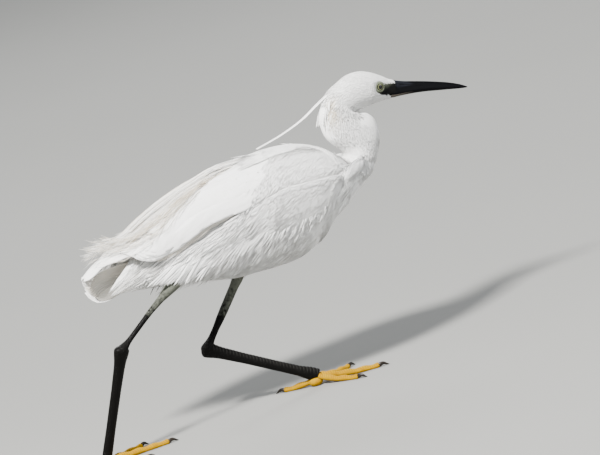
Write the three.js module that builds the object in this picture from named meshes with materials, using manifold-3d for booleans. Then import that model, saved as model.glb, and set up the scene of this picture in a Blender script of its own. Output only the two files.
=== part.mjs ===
// A little egret at life size, walking, as a still museum model. Sizes are in millimetres.
// X runs forward along the body, Y to the bird's left, Z up. The toes rest on the floor at Z 0.
// The body, neck and head are lofted through rings. Feathers are thin vanes, tier over tier, whose
// roots are sunk in the piece that they grow from.

import * as THREE from 'three';
import { mergeVertices } from 'three/addons/utils/BufferGeometryUtils.js';
import Module from 'manifold-3d';

const wasm = await Module();
wasm.setup();

const RIGHT = -1;
const LEFT = 1;
const GAP = 0.3;            // clearance between pieces that meet
const VANE_THICK = 0.7;     // thickness of a feather's vane
const ROOT_SHARE = 0.25;    // width of a vane at its root, as a share of its full width
const TIP_SHARE = 0.22;     // width left at a vane's tip
const TIP_START = 0.75;     // share of a vane's length at which its tip begins to narrow
const SHINGLE = 0.15;       // sideways tilt of a vane, so that each lies over its neighbour, in radians

// Head: the midpoint between the eyes, and how the head is held there.
const HEAD_AT = new THREE.Vector3(179, 9, 248.6);
const HEAD_TURN = 8;        // degrees to the bird's left
const HEAD_DIP = 18.5;      // degrees nose-down
const BILL_BASE = 19.5;     // from the eyes forward to the edge of the bill
const BILL_TIP = 99.4;
const EYE_RADIUS = 5.2;
const EYE_OUT = 8.4;        // from the head's middle plane to the middle of an eyeball
const LID_RING = 4.5;       // middle line of the lids round an eye
const LID_THICK = 0.9;
const LID_OUT = 2.9;        // from the middle of an eyeball out to the middle line of its lids
const GAPE = { at: [12, 9.4, -7.6], half: [10, 2.2, 0.35] };      // line of the mouth under the eye
const NOSTRIL = { at: [27.5, 4.6, 2.2], half: [4.2, 1.3, 0.55] };
const LOWER_SHORTER = 1.4;  // how much shorter the lower mandible is than the upper one

// Legs: the hidden knee, the ankle and the base of the toes of each leg, and where the plumage ends.
const LEGS = {
  right: { side: RIGHT, knee: [-27, -26, 181], ankle: [-142, -26, 103], foot: [-178, 2], turn: -5, cuff: 78 },
  left: { side: LEFT, knee: [49, 30, 169], ankle: [-46, 22, 65], foot: [41, 8], turn: -19, cuff: 70 },
};
const CUFF_LENGTH = 26;
const CUFF_RADIUS = [9.8, 5.4];
const LEG_STEPS = [0, 0.35, 0.7, 1];  // places along a leg bone at which its thickness is given
const TIBIA_RADIUS = [4.9, 3.9, 3.2, 3.1];
const ANKLE_KNOB = [6.8, 5.4, 8.6];   // half sizes across, sideways and along the shin
const TARSUS_HALF = { wide: [4.3, 3.6, 3.5, 3.9], deep: [5.6, 4.8, 4.7, 5.0] };
const PAD = [6.8, 6.4, 4.6];          // half sizes of the ball of the foot
const PAD_LEVEL = 4.2;
const TOES = [                        // angle from the foot's heading, length, thickness at the root
  { turn: 162, length: 33, radius: 3.0, joints: 2 },
  { turn: -29, length: 46, radius: 2.9, joints: 3 },
  { turn: 0, length: 62, radius: 3.1, joints: 4 },
  { turn: 46, length: 48, radius: 2.9, joints: 4 },
];
const TOE_FLAT = 0.35;                // how much of a toe's round underside the floor takes
const TOE_TAPER = 0.28;
const TOE_SWELL = 0.09;               // swelling of the pads between a toe's joints
const TOE_ROOT_RISE = 1.6;            // how much higher a toe lies where it leaves the ball of the foot
const TOE_SPACE = { reach: 24, half: 3.9, high: 9, level: 2.8 };   // kept free of the next toe's root
const CLAW_LENGTH = 9;
const CLAW_RADIUS = 1.9;
const CLAW_POINT = 0.3;
const CLAW_ARCH = 1.1;
const CLAW_DROP = 1.55;

// Rings of the neck and chest: back or top point, front or bottom point, half width, place of the
// widest level from the top, narrowing of the upper side, and turn to the left in degrees.
const NECK_RINGS = [
  [120, 1.5, 251.5, 154, 3.5, 231.5, 14.6, 0.5, 0, 5],
  [114, 1, 241.5, 162.5, 2.5, 230, 15.5, 0.5, 0, 3],
  [112.5, 0.5, 231, 169, 1.5, 222.5, 16.5, 0.5, 0, 1],
  [114, 0, 221, 171, 1, 212, 17, 0.5, 0, 0],
  [119, 0, 212.5, 170.5, 0.5, 203, 17.5, 0.5, 0, 0],
  [125, 0, 207, 167, 0, 195, 18, 0.5, 0, 0],
  [127.5, 0, 201.5, 161.5, 0, 187, 19.5, 0.5, 0, 0],
];
const CHEST_RINGS = [
  [122.5, 0, 197.5, 152, 0, 178.5, 22, 0.5, 0, 0],
  [117, 0, 204, 139, 0, 169.5, 28, 0.5, 0, 0],
  [112.5, 0, 210.5, 127, 0, 163.5, 33.5, 0.5, 0.02, 0],
  [107, 0, 216.5, 115.5, 0, 156, 38.5, 0.52, 0.05, 0],
];
// Upright sections of the body: X, top, bottom, half width.
const BODY_SECTIONS = [
  [99, 221.5, 146, 42],
  [85, 226.5, 134.5, 44.6],
  [66, 230, 124, 46],
  [44, 231.4, 120.2, 46.5],
  [18, 230.2, 121.3, 46],
  [-10, 226.4, 124.3, 44.5],
  [-40, 217.5, 131.3, 41],
  [-68, 207, 138.3, 35.5],
  [-90, 196.5, 143.5, 28.5],
  [-106, 186, 148, 20],
  [-117, 177, 153.5, 11],
  [-121, 171.5, 158.5, 4],
];
const BODY_WIDEST = 0.56;   // level of the greatest width, from the top
const BODY_NARROW = 0.13;   // narrowing of the back, where the wings lie
// The surface that the quills lie on: X, top, half width, level of the greatest width.
const WING_BED = [
  [124, 198, 25, 182],
  [116, 206, 33, 182],
  [100, 218.5, 41, 181],
  [75, 227, 45.8, 179],
  [40, 229.5, 47.6, 178],
  [0, 226.2, 46, 178],
  [-40, 219.3, 42.4, 177],
  [-75, 208.2, 35.5, 174],
  [-105, 194.3, 26.5, 170],
  [-130, 182, 17, 165],
  [-150, 171.5, 10.5, 160],
  [-170, 162.5, 6, 155],
];
// Edges of the wing's fleshy part, as degrees round the body from its top: X, upper, lower.
const WING_EDGES = [
  [118, 52, 78],
  [100, 43, 76],
  [66, 37, 74],
  [30, 31, 73],
  [0, 24, 74],
  [-30, 15, 79],
  [-60, 7, 88],
  [-90, 5, 88],
  [-112, 8, 70],
];
const WING_DEPTH = 6;       // how deep the wing's fleshy part reaches into the bed
const WING_RIM = 0.9;       // thickness of its edges
// Tiers of feathers on each wing, from the lowest up: number, X and angle of the first and last root
// and of the first and last tip, widths, and height over the bed at the root and at the tip.
const WING_TIERS = [
  { count: 4, root: [-74, 74, -84, 40], tip: [-124, 88, -150, 46], width: [12, 12], lift: [-1.6, -0.2] },
  { count: 6, root: [42, 62, -52, 66], tip: [-4, 79, -106, 94], width: [17, 17], lift: [-2.2, 0.9] },
  { count: 5, root: [90, 50, 4, 46], tip: [44, 71, -58, 77], width: [16, 18], lift: [-2.4, 2.4] },
  { count: 4, root: [6, 32, -30, 17], tip: [-94, 76, -126, 30], width: [18, 20], lift: [-2.8, 3.2] },
  { count: 4, root: [88, 38, 26, 22], tip: [18, 52, -70, 28], width: [17, 19], lift: [-2.8, 4.4] },
];
const TOP_SINK = 2.4;       // how much flatter the feathers lie next to the middle of the back
const TOP_REACH = [8, 38];  // degrees from the top over which that fades
const LEFT_DROOP = 16;      // degrees by which the left wing's hindmost feathers hang lower

const LOOSE_THICK = 0.9;    // thickness of the loose plumes and the nape's feathers
const AIGRETTES = {
  count: 11,
  rootX: [34, -6],
  tipX: [-128, -166],
  spread: 13.5,
  width: 2.2,
  lift: [-2.5, 3.6],
  tipLift: [2.5, 15.5],
};
const BREAST_PLUMES = { count: 5, length: 34, width: 6, angles: [8, 70], lift: [-2, 1.7] };
const NAPE_FEATHERS = { count: 5, width: 4.2, apart: 3.6, route: [[123, 250], [114.5, 242.5], [109.5, 234]] };
const NAPE_PLUMES = {
  route: [
    [138, 2.5, 262], [129, 2.6, 260.4], [116, 2.8, 254.6], [98, 3, 246], [74, 4, 238.9], [49, 5.5, 234],
  ],
  apart: [1.9, 3.4],
  width: 3.4,
  thick: 1.0,
};
const TAIL = { pairs: 5, rootX: -104, tipX: -149, level: 166, spread: 14.5, droop: 10, width: 14 };
const TAIL_CORE = { at: [-110, 0, 161], half: [13, 9, 7.5] };

const lerp = THREE.MathUtils.lerp;
const rad = THREE.MathUtils.degToRad;
const v3 = (x, y, z) => new THREE.Vector3(x, y, z);

// A solid of manifold-3d from a closed geometry.
function solid(geometry) {
  const plain = geometry.index ? geometry.clone() : geometry;
  for (const name of ['normal', 'uv']) plain.deleteAttribute(name);
  const merged = mergeVertices(plain, 1e-4);
  return new wasm.Manifold(new wasm.Mesh({
    numProp: 3,
    vertProperties: new Float32Array(merged.attributes.position.array),
    triVerts: new Uint32Array(merged.index.array),
  }));
}

// The largest closed surface of a solid.
function largest(body) {
  const parts = body.decompose();
  return parts.reduce((best, part) => (part.volume() > best.volume() ? part : best));
}

function geometryOf(body) {
  const mesh = body.getMesh();
  const geometry = new THREE.BufferGeometry();
  geometry.setAttribute('position', new THREE.BufferAttribute(new Float32Array(mesh.vertProperties), 3));
  geometry.setIndex(new THREE.BufferAttribute(new Uint32Array(mesh.triVerts), 1));
  return geometry;
}

// A smooth curve through rows of numbers, u counting the rows.
function along(rows, u) {
  const i = Math.min(Math.floor(u), rows.length - 2);
  const f = u - i;
  const row = (k) => rows[Math.max(0, Math.min(rows.length - 1, k))];
  return rows[0].map((_, n) => {
    const [a, b, c, d] = [row(i - 1)[n], row(i)[n], row(i + 1)[n], row(i + 2)[n]];
    return b + 0.5 * f * (c - a + f * (2 * a - 5 * b + 4 * c - d + f * (3 * (b - c) + d - a)));
  });
}

// The row of a table at a given X. The first column is X, falling from row to row.
function at(table, x) {
  const place = Math.max(Math.min(x, table[0][0]), table[table.length - 1][0]);
  let i = 0;
  while (i < table.length - 2 && table[i + 1][0] > place) i += 1;
  const span = table[i + 1][0] - table[i][0];
  const f = (place - table[i][0]) / span;
  const slope = (k, n) => {
    const low = table[Math.max(0, k - 1)];
    const high = table[Math.min(table.length - 1, k + 1)];
    return ((high[n] - low[n]) / (high[0] - low[0])) * span;
  };
  return table[0].map((_, n) => {
    const [a, b] = [table[i][n], table[i + 1][n]];
    const [p, q] = [slope(i, n), slope(i + 1, n)];
    return a + f * (p + f * (3 * (b - a) - 2 * p - q + f * (p + q - 2 * (b - a))));
  });
}

// A closed surface over a grid of rings, each a loop of points, with a fan over both ends.
function skin(rings) {
  const count = rings[0].length;
  const points = rings.flat();
  const faces = [];
  for (let r = 0; r < rings.length - 1; r += 1) {
    for (let k = 0; k < count; k += 1) {
      const next = (k + 1) % count;
      const [a, b] = [r * count + k, r * count + next];
      faces.push(a, b, b + count, a, b + count, a + count);
    }
  }
  const last = (rings.length - 1) * count;
  const middle = (ring) => ring.reduce((sum, p) => sum.add(p), v3(0, 0, 0)).divideScalar(count);
  points.push(middle(rings[0]), middle(rings[rings.length - 1]));
  const head = points.length - 2;
  for (let k = 0; k < count; k += 1) {
    const next = (k + 1) % count;
    faces.push(head, next, k, head + 1, last + k, last + next);
  }
  const geometry = new THREE.BufferGeometry().setFromPoints(points);
  geometry.setIndex(faces);
  const body = solid(geometry);
  return body.volume() > 0 ? body : solid(flipped(geometry));
}

function flipped(geometry) {
  const faces = Array.from(geometry.index.array);
  for (let k = 0; k < faces.length; k += 3) [faces[k], faces[k + 1]] = [faces[k + 1], faces[k]];
  const turned = geometry.clone();
  turned.setIndex(faces);
  return turned;
}

// One ring of a loft: its points run from the top down the left side and up the right.
function ringPoints(row, sides, grow) {
  const [tx, ty, tz, bx, by, bz, half, widest, narrow, turn] = row;
  const top = v3(tx, ty, tz);
  const axis = v3(bx, by, bz).sub(top);
  const unit = axis.clone().normalize();
  top.addScaledVector(unit, -grow);
  axis.addScaledVector(unit, 2 * grow);
  const sideways = v3(-Math.sin(rad(turn)), Math.cos(rad(turn)), 0);
  return Array.from({ length: sides }, (_, k) => {
    const angle = (2 * Math.PI * k) / sides;
    const c = Math.cos(angle);
    const down = c > 0 ? widest * (1 - c) : widest - (1 - widest) * c;
    const out = (half + grow) * Math.sin(angle) * (1 - narrow * Math.max(0, c));
    return top.clone().addScaledVector(axis, down).addScaledVector(sideways, out);
  });
}

// A loft through ring rows from u0 to u1. Its end rings stand half a gap back from the cut.
function loft(rows, options) {
  const { from = 0, to = rows.length - 1, sides, steps = 2, grow = 0, trim = [0, 0], frame = null } = options;
  const count = Math.round((to - from) * steps);
  const rings = Array.from({ length: count + 1 }, (_, k) => {
    const row = along(rows, from + ((to - from) * k) / count);
    return ringPoints(row, sides, grow);
  });
  const shift = (ring, neighbour, size) => {
    const across = ring[0].clone().sub(ring[Math.floor(sides / 2)]);
    const normal = across.cross(ring[Math.floor(sides / 4)].clone().sub(ring[0])).normalize();
    const inward = neighbour.reduce((sum, p, k) => sum + p.clone().sub(ring[k]).dot(normal), 0);
    ring.forEach((p) => p.addScaledVector(normal, Math.sign(inward) * size));
  };
  shift(rings[0], rings[1], trim[0]);
  shift(rings[count], rings[count - 1], trim[1]);
  if (frame) rings.flat().forEach((p) => p.applyMatrix4(frame.matrix));
  return skin(rings);
}

// A round bar along points. Its half sizes are given sideways and upwards at each point, and its
// first section may face a way of its own.
function bar(points, wide, deep, sides, up, firstWay = null) {
  const rings = points.map((p, k) => {
    const before = points[Math.max(0, k - 1)];
    const after = points[Math.min(points.length - 1, k + 1)];
    const way = k === 0 && firstWay ? firstWay.clone() : after.clone().sub(before).normalize();
    const across = way.clone().cross(up).normalize();
    const rise = across.clone().cross(way).normalize();
    return Array.from({ length: sides }, (_, n) => {
      const angle = (2 * Math.PI * (n + 0.5)) / sides;
      return p.clone().addScaledVector(across, Math.cos(angle) * wide[k])
        .addScaledVector(rise, Math.sin(angle) * deep[k]);
    });
  });
  return skin(rings);
}

function ball(centre, half, orient = new THREE.Quaternion(), detail = [10, 7]) {
  const sphere = new THREE.SphereGeometry(1, detail[0], detail[1]);
  sphere.scale(half[0], half[1], half[2]);
  sphere.applyQuaternion(orient);
  sphere.translate(centre.x, centre.y, centre.z);
  return solid(sphere);
}

function block(centre, size, orient = new THREE.Quaternion()) {
  const box = new THREE.BoxGeometry(size[0], size[1], size[2]);
  box.applyQuaternion(orient);
  box.translate(centre.x, centre.y, centre.z);
  return solid(box);
}

// One feather: a thin blade along its shaft, widest past the middle and tapered to the tip.
// shape(f) gives the place at share f of its length, facing(f) the way that its upper face looks.
function vane({ shape, facing, width, thick = VANE_THICK, pieces = 4, lean = 0, blunt = 0.7 }) {
  const rings = Array.from({ length: pieces + 1 }, (_, k) => {
    const f = k / pieces;
    const step = 0.02;
    const way = shape(Math.min(1, f + step)).sub(shape(Math.max(0, f - step))).normalize();
    const up = facing(f).applyAxisAngle(way, lean);
    const across = way.clone().cross(up).normalize();
    const rise = across.clone().cross(way).normalize();
    const swell = ROOT_SHARE + (1 - ROOT_SHARE) * Math.sin(Math.PI * Math.min(1, f * blunt)) ** 0.7;
    const taper = f > TIP_START ? lerp(1, TIP_SHARE, (f - TIP_START) / (1 - TIP_START)) : 1;
    const half = (width / 2) * swell * taper;
    const deep = (thick / 2) * (f > 0.99 ? 0.7 : 1);
    const p = shape(f);
    const corner = (s, t) => p.clone().addScaledVector(across, s * half).addScaledVector(rise, t * deep);
    return [corner(-1, -1), corner(1, -1), corner(1, 1), corner(-1, 1)];
  });
  return blade(rings);
}

// Closes a row of four-cornered sections. Its two faces are split along the same diagonals.
function blade(rings) {
  const faces = [];
  for (let r = 0; r < rings.length - 1; r += 1) {
    const [a, b] = [4 * r, 4 * r + 4];
    faces.push(a, a + 1, b + 1, a, b + 1, b);                 // under face
    faces.push(a + 3, b + 2, a + 2, a + 3, b + 3, b + 2);     // upper face
    faces.push(a + 1, a + 2, b + 2, a + 1, b + 2, b + 1);
    faces.push(a, b, b + 3, a, b + 3, a + 3);
  }
  const e = 4 * (rings.length - 1);
  faces.push(0, 3, 2, 0, 2, 1, e, e + 1, e + 2, e, e + 2, e + 3);
  const geometry = new THREE.BufferGeometry().setFromPoints(rings.flat());
  geometry.setIndex(faces);
  const body = solid(geometry);
  return body.volume() > 0 ? body : solid(flipped(geometry));
}

const joined = (bodies) => wasm.Manifold.union(bodies);

// The body
const HEAD_REAR = [-50, 0, -3, -24, 0, -26];
const headFrame = new THREE.Group();
headFrame.position.copy(HEAD_AT);
headFrame.rotation.set(0, rad(HEAD_DIP), rad(HEAD_TURN), 'ZYX');
headFrame.updateMatrixWorld(true);
const fromHead = (x, y, z) => v3(x, y, z).applyMatrix4(headFrame.matrix);

const nape = fromHead(...HEAD_REAR.slice(0, 3));
const throat = fromHead(...HEAD_REAR.slice(3));
const neckRows = [
  [...nape.toArray(), ...throat.toArray(), 14.5, 0.5, 0, HEAD_TURN],
  ...NECK_RINGS,
  CHEST_RINGS[0],
];
const RING_SPACING = 17;    // mean distance between the chest's rings
const bodyRows = [
  ...CHEST_RINGS,
  ...BODY_SECTIONS.map(([x, top, low, half]) => [x, 0, top, x, 0, low, half, BODY_WIDEST, BODY_NARROW, 0]),
];

const trunkOptions = { sides: 24, steps: 2, trim: [GAP / 2, 0] };
const trunk = loft(bodyRows, trunkOptions);
const trunkClear = loft(bodyRows, { ...trunkOptions, grow: GAP });

// Place on the wing's bed, a given number of degrees round from the top.
function onBed(side, x, degrees, lift) {
  const [, top, half, level] = at(WING_BED, x);
  const angle = rad(degrees);
  const rise = (top - level + lift) * Math.cos(angle);
  return v3(x, side * (half + lift) * Math.sin(angle), level + rise);
}
const bedFacing = (side, x, degrees) => {
  const here = onBed(side, x, degrees, 0);
  return onBed(side, x, degrees, 1).sub(here).normalize();
};

// One feather lying over the bed from a root to a tip.
function bedFeather(side, root, tip, width, lift, lean) {
  const place = (f) => [lerp(root[0], tip[0], f), lerp(root[1], tip[1], f)];
  const sink = (f) => TOP_SINK * (1 - THREE.MathUtils.smoothstep(place(f)[1], ...TOP_REACH));
  return vane({
    shape: (f) => onBed(side, ...place(f), lerp(lift[0], lift[1], Math.min(1, f * 2.2)) - sink(f)),
    facing: (f) => bedFacing(side, ...place(f)),
    width,
    lean: lean * side,
  });
}

function wing(side) {
  const droop = (x) => (side === LEFT ? LEFT_DROOP * THREE.MathUtils.smoothstep(-x, 60, 150) : 0);
  const stations = 12;
  const across = 5;
  const first = WING_EDGES[0][0];
  const last = WING_EDGES[WING_EDGES.length - 1][0];
  const rings = Array.from({ length: stations + 1 }, (_, k) => {
    const x = lerp(first, last, k / stations);
    const [, upper, lower] = at(WING_EDGES, x);
    const depth = WING_DEPTH * Math.sqrt(Math.min(1, (k + 0.4) / 3)) * (x < -60 ? 0.75 : 1);
    const row = (lift) => Array.from({ length: across + 1 }, (_, n) => {
      const t = n / across;
      const bulge = Math.sqrt(Math.max(0.02, 4 * t * (1 - t)));
      return onBed(side, x, lerp(upper, lower, t) + droop(x), lift(bulge));
    });
    return [...row((bulge) => 0.5 * bulge - 0.5), ...row((bulge) => -depth * bulge - WING_RIM).reverse()];
  });
  const feathers = WING_TIERS.flatMap(({ count, root, tip, width, lift }) => (
    Array.from({ length: count }, (_, k) => {
      const f = k / (count - 1);
      const start = [lerp(root[0], root[2], f), lerp(root[1], root[3], f)];
      const end = [lerp(tip[0], tip[2], f), lerp(tip[1], tip[3], f)];
      start[1] += droop(start[0]);
      end[1] += droop(end[0]);
      return bedFeather(side, start, end, lerp(width[0], width[1], f), lift, SHINGLE);
    })));
  const clear = joined([trunkClear, ...aigrettes(GAP)]);
  return largest(largest(joined([skin(rings), ...feathers])).subtract(clear));
}

// Long loose plumes from the middle of the back, over the closed wings to past the tail.
function aigrettes(grow) {
  const { count, rootX, spread, tipX, width, lift, tipLift } = AIGRETTES;
  return Array.from({ length: count }, (_, k) => {
    const f = k / (count - 1);
    const aside = 2 * f - 1;
    const inner = 1 - Math.abs(aside);
    const start = lerp(rootX[1], rootX[0], inner) + (k % 2) * 6;
    const end = lerp(tipX[0], tipX[1], 0.35 + 0.65 * Math.abs(Math.sin(k * 2.4)));
    const raised = lerp(tipLift[0], tipLift[1], Math.abs(Math.sin(k * 1.7)));
    return vane({
      shape: (t) => {
        const x = lerp(start, end, t);
        const y = spread * aside * lerp(0.92, 1.12, t);
        const [, top, half, level] = at(WING_BED, x);
        const [, roof] = at(BODY_SECTIONS, x);
        const bedTop = level + (top - level) * Math.sqrt(Math.max(0.1, 1 - (y / (half + 4)) ** 2));
        const base = Math.max(bedTop, roof - y * y * 0.02);
        const over = lerp(lift[0], lift[1], Math.min(1, t * 5));
        return v3(x, y, base + over + raised * Math.max(0, (t - 0.8) * 5) ** 1.5);
      },
      facing: () => v3(0, 0.25 * aside, 1),
      width: width + 2 * grow,
      thick: LOOSE_THICK + 2 * grow,
      pieces: 6,
      blunt: 0.9,
    });
  });
}

// Narrow plumes that hang from the root of the neck over the breast.
function breastPlumes() {
  const { count, length, width, angles, lift } = BREAST_PLUMES;
  return [RIGHT, LEFT].flatMap((side) => Array.from({ length: count }, (_, k) => {
    const f = (k + 0.5) / count;
    const low = rad(180 - lerp(angles[0], angles[1], f));
    const onBreast = (u, height) => {
      const [tx, , tz, bx, , bz, half] = along(bodyRows, u);
      const share = 0.5 - 0.5 * Math.cos(low);
      const out = v3(lerp(tx, bx, share), side * half * Math.sin(low), lerp(tz, bz, share));
      const centre = v3((tx + bx) / 2, 0, (tz + bz) / 2);
      return out.addScaledVector(out.clone().sub(centre).normalize(), height);
    };
    const ringAt = (t) => 0.25 + 0.3 * f + (length / RING_SPACING) * t;
    return vane({
      shape: (t) => onBreast(ringAt(t), lerp(lift[0], lift[1], Math.min(1, t * 1.6))),
      facing: (t) => onBreast(ringAt(t), 1).sub(onBreast(ringAt(t), 0)).normalize(),
      width,
      thick: LOOSE_THICK,
    });
  }));
}

function tail() {
  const { pairs, rootX, tipX, level, spread, droop, width } = TAIL;
  const feathers = [];
  for (let k = 0; k < pairs; k += 1) {
    const f = k / (pairs - 1);
    for (const side of [RIGHT, LEFT]) {
      const aside = side * (1.5 + spread * f);
      const offset = side === RIGHT ? 0.35 : 0;
      feathers.push(vane({
        shape: (t) => v3(
          lerp(rootX, tipX + 7 * f * f, t),
          lerp(aside * 0.4, aside, t),
          lerp(level - 3 * f, level - droop * f - 3, t) - offset - 1.1 * k,
        ),
        facing: () => v3(0, side * 0.75 * f, 1).normalize(),
        width,
      }));
    }
  }
  const core = ball(v3(...TAIL_CORE.at), TAIL_CORE.half);
  return largest(largest(joined([core, ...feathers])).subtract(trunkClear));
}

// The head, in its own frame: X towards the bill, Y to its left, Z up.
const HEAD_RINGS = [
  [BILL_BASE, 0, 7.2, BILL_BASE, 0, -9.6, 6.6, 0.5, 0, 0],
  [13, 0, 8.8, 13, 0, -11.2, 8.6, 0.5, 0.04, 0],
  [4, 0, 12.2, 3, 0, -13.8, 11.4, 0.48, 0.1, 0],
  [-6, 0, 15, -8, 0, -17.3, 14, 0.48, 0.08, 0],
  [-17, 0, 15.9, -17, 0, -21, 15.4, 0.48, 0.04, 0],
  [-29, 0, 13, -21.5, 0, -23.7, 15.6, 0.48, 0, 0],
  [-40, 0, 5.6, -23.3, 0, -25, 15.2, 0.49, 0, 0],
  [...HEAD_REAR, 14.5, 0.5, 0, 0],
];

// Two long narrow plumes that grow side by side from the nape and trail over the back.
function napePlume(side) {
  const { route, apart, width, thick } = NAPE_PLUMES;
  const points = route.map((p, k) => v3(...p).add(v3(0, side * lerp(...apart, k / (route.length - 1)), 0)));
  const curve = new THREE.CatmullRomCurve3(points);
  const plume = vane({
    shape: (t) => curve.getPoint(t),
    facing: () => v3(-0.2, side * 0.4, 1).normalize(),
    width,
    thick,
    pieces: 7,
  });
  return largest(plume.subtract(joined([skullClear, neckClear])));
}

const slit = (side, { at: [x, y, z], half }) => ball(v3(x, side * y, z), half, undefined, [8, 4]);

function eyeball(side, grow) {
  const r = EYE_RADIUS + grow;
  return ball(v3(0, side * EYE_OUT, 0), [r, r, r], undefined, [12, 8]);
}

const skullOptions = { sides: 18, steps: 2, trim: [GAP / 2, GAP / 2] };

const skullClear = loft(HEAD_RINGS, { ...skullOptions, grow: GAP, frame: headFrame });
const neckClear = loft(neckRows, { from: 0, to: 3, sides: 20, steps: 2, grow: GAP });

function head() {
  const skull = loft(HEAD_RINGS, skullOptions);
  const additions = [skull];
  const cuts = [];
  for (const side of [RIGHT, LEFT]) {
    const lids = new THREE.TorusGeometry(LID_RING, LID_THICK, 5, 14);
    lids.rotateX(Math.PI / 2);
    lids.translate(0, side * (EYE_OUT + LID_OUT), 0);
    additions.push(solid(lids));
    cuts.push(eyeball(side, GAP), slit(side, GAPE));
  }
  return largest(largest(joined(additions)).subtract(joined(cuts)));
}

// The bill, in the head's frame. Rows: X, ridge, line of the mouth, under edge, half width.
const BILL_ROWS = [
  [BILL_BASE + GAP, 7.0, -6.6, -9.4, 6.3],
  [24, 6.4, -6.0, -8.5, 5.7],
  [32, 5.9, -4.6, -7.1, 4.8],
  [43, 5.8, -3.3, -5.4, 3.9],
  [55, 5.5, -2.1, -4.0, 3.2],
  [68, 4.7, -1.3, -2.8, 2.6],
  [80, 3.7, -0.6, -1.9, 2.0],
  [91, 2.1, -0.2, -1.3, 1.2],
  [BILL_TIP, 0.35, -0.35, -0.6, 0.35],
];

function mandible(upper) {
  const rows = BILL_ROWS.map(([x, ridge, mouth, low, half]) => {
    const top = upper ? ridge : mouth - GAP / 2;
    const bottom = upper ? mouth + GAP / 2 : Math.min(low, mouth - 0.5);
    const forward = x - (upper ? 0 : LOWER_SHORTER * (x / BILL_TIP));
    return [forward, 0, top, forward, 0, bottom, half, upper ? 0.86 : 0.14, 0, 0];
  });
  const horn = loft(rows, { sides: 12, steps: 1 });
  if (!upper) return horn;
  return horn.subtract(joined([RIGHT, LEFT].map((side) => slit(side, NOSTRIL))));
}

function neckPiece(name, from, to) {
  return { name, body: loft(neckRows, { from, to, sides: 20, steps: 2, trim: [GAP / 2, GAP / 2] }) };
}

function napeFeathers() {
  const { count, width, apart, route } = NAPE_FEATHERS;
  return Array.from({ length: count }, (_, k) => {
    const aside = (k - (count - 1) / 2) * apart;
    const inward = Math.abs(aside) * 0.35;
    const curve = new THREE.CatmullRomCurve3(route.map(([x, z]) => v3(x + inward, aside + 1, z)));
    return vane({
      shape: (t) => curve.getPoint(t),
      facing: () => v3(-1, aside * 0.08, 0.35).normalize(),
      width,
      thick: LOOSE_THICK,
    });
  });
}

// Legs and feet
const pieces = [];
const add = (name, body, look, parent = null) => pieces.push({ name, body, look, parent });

const floorCut = block(v3(0, 0, -50), [1200, 1200, 100]);

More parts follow.
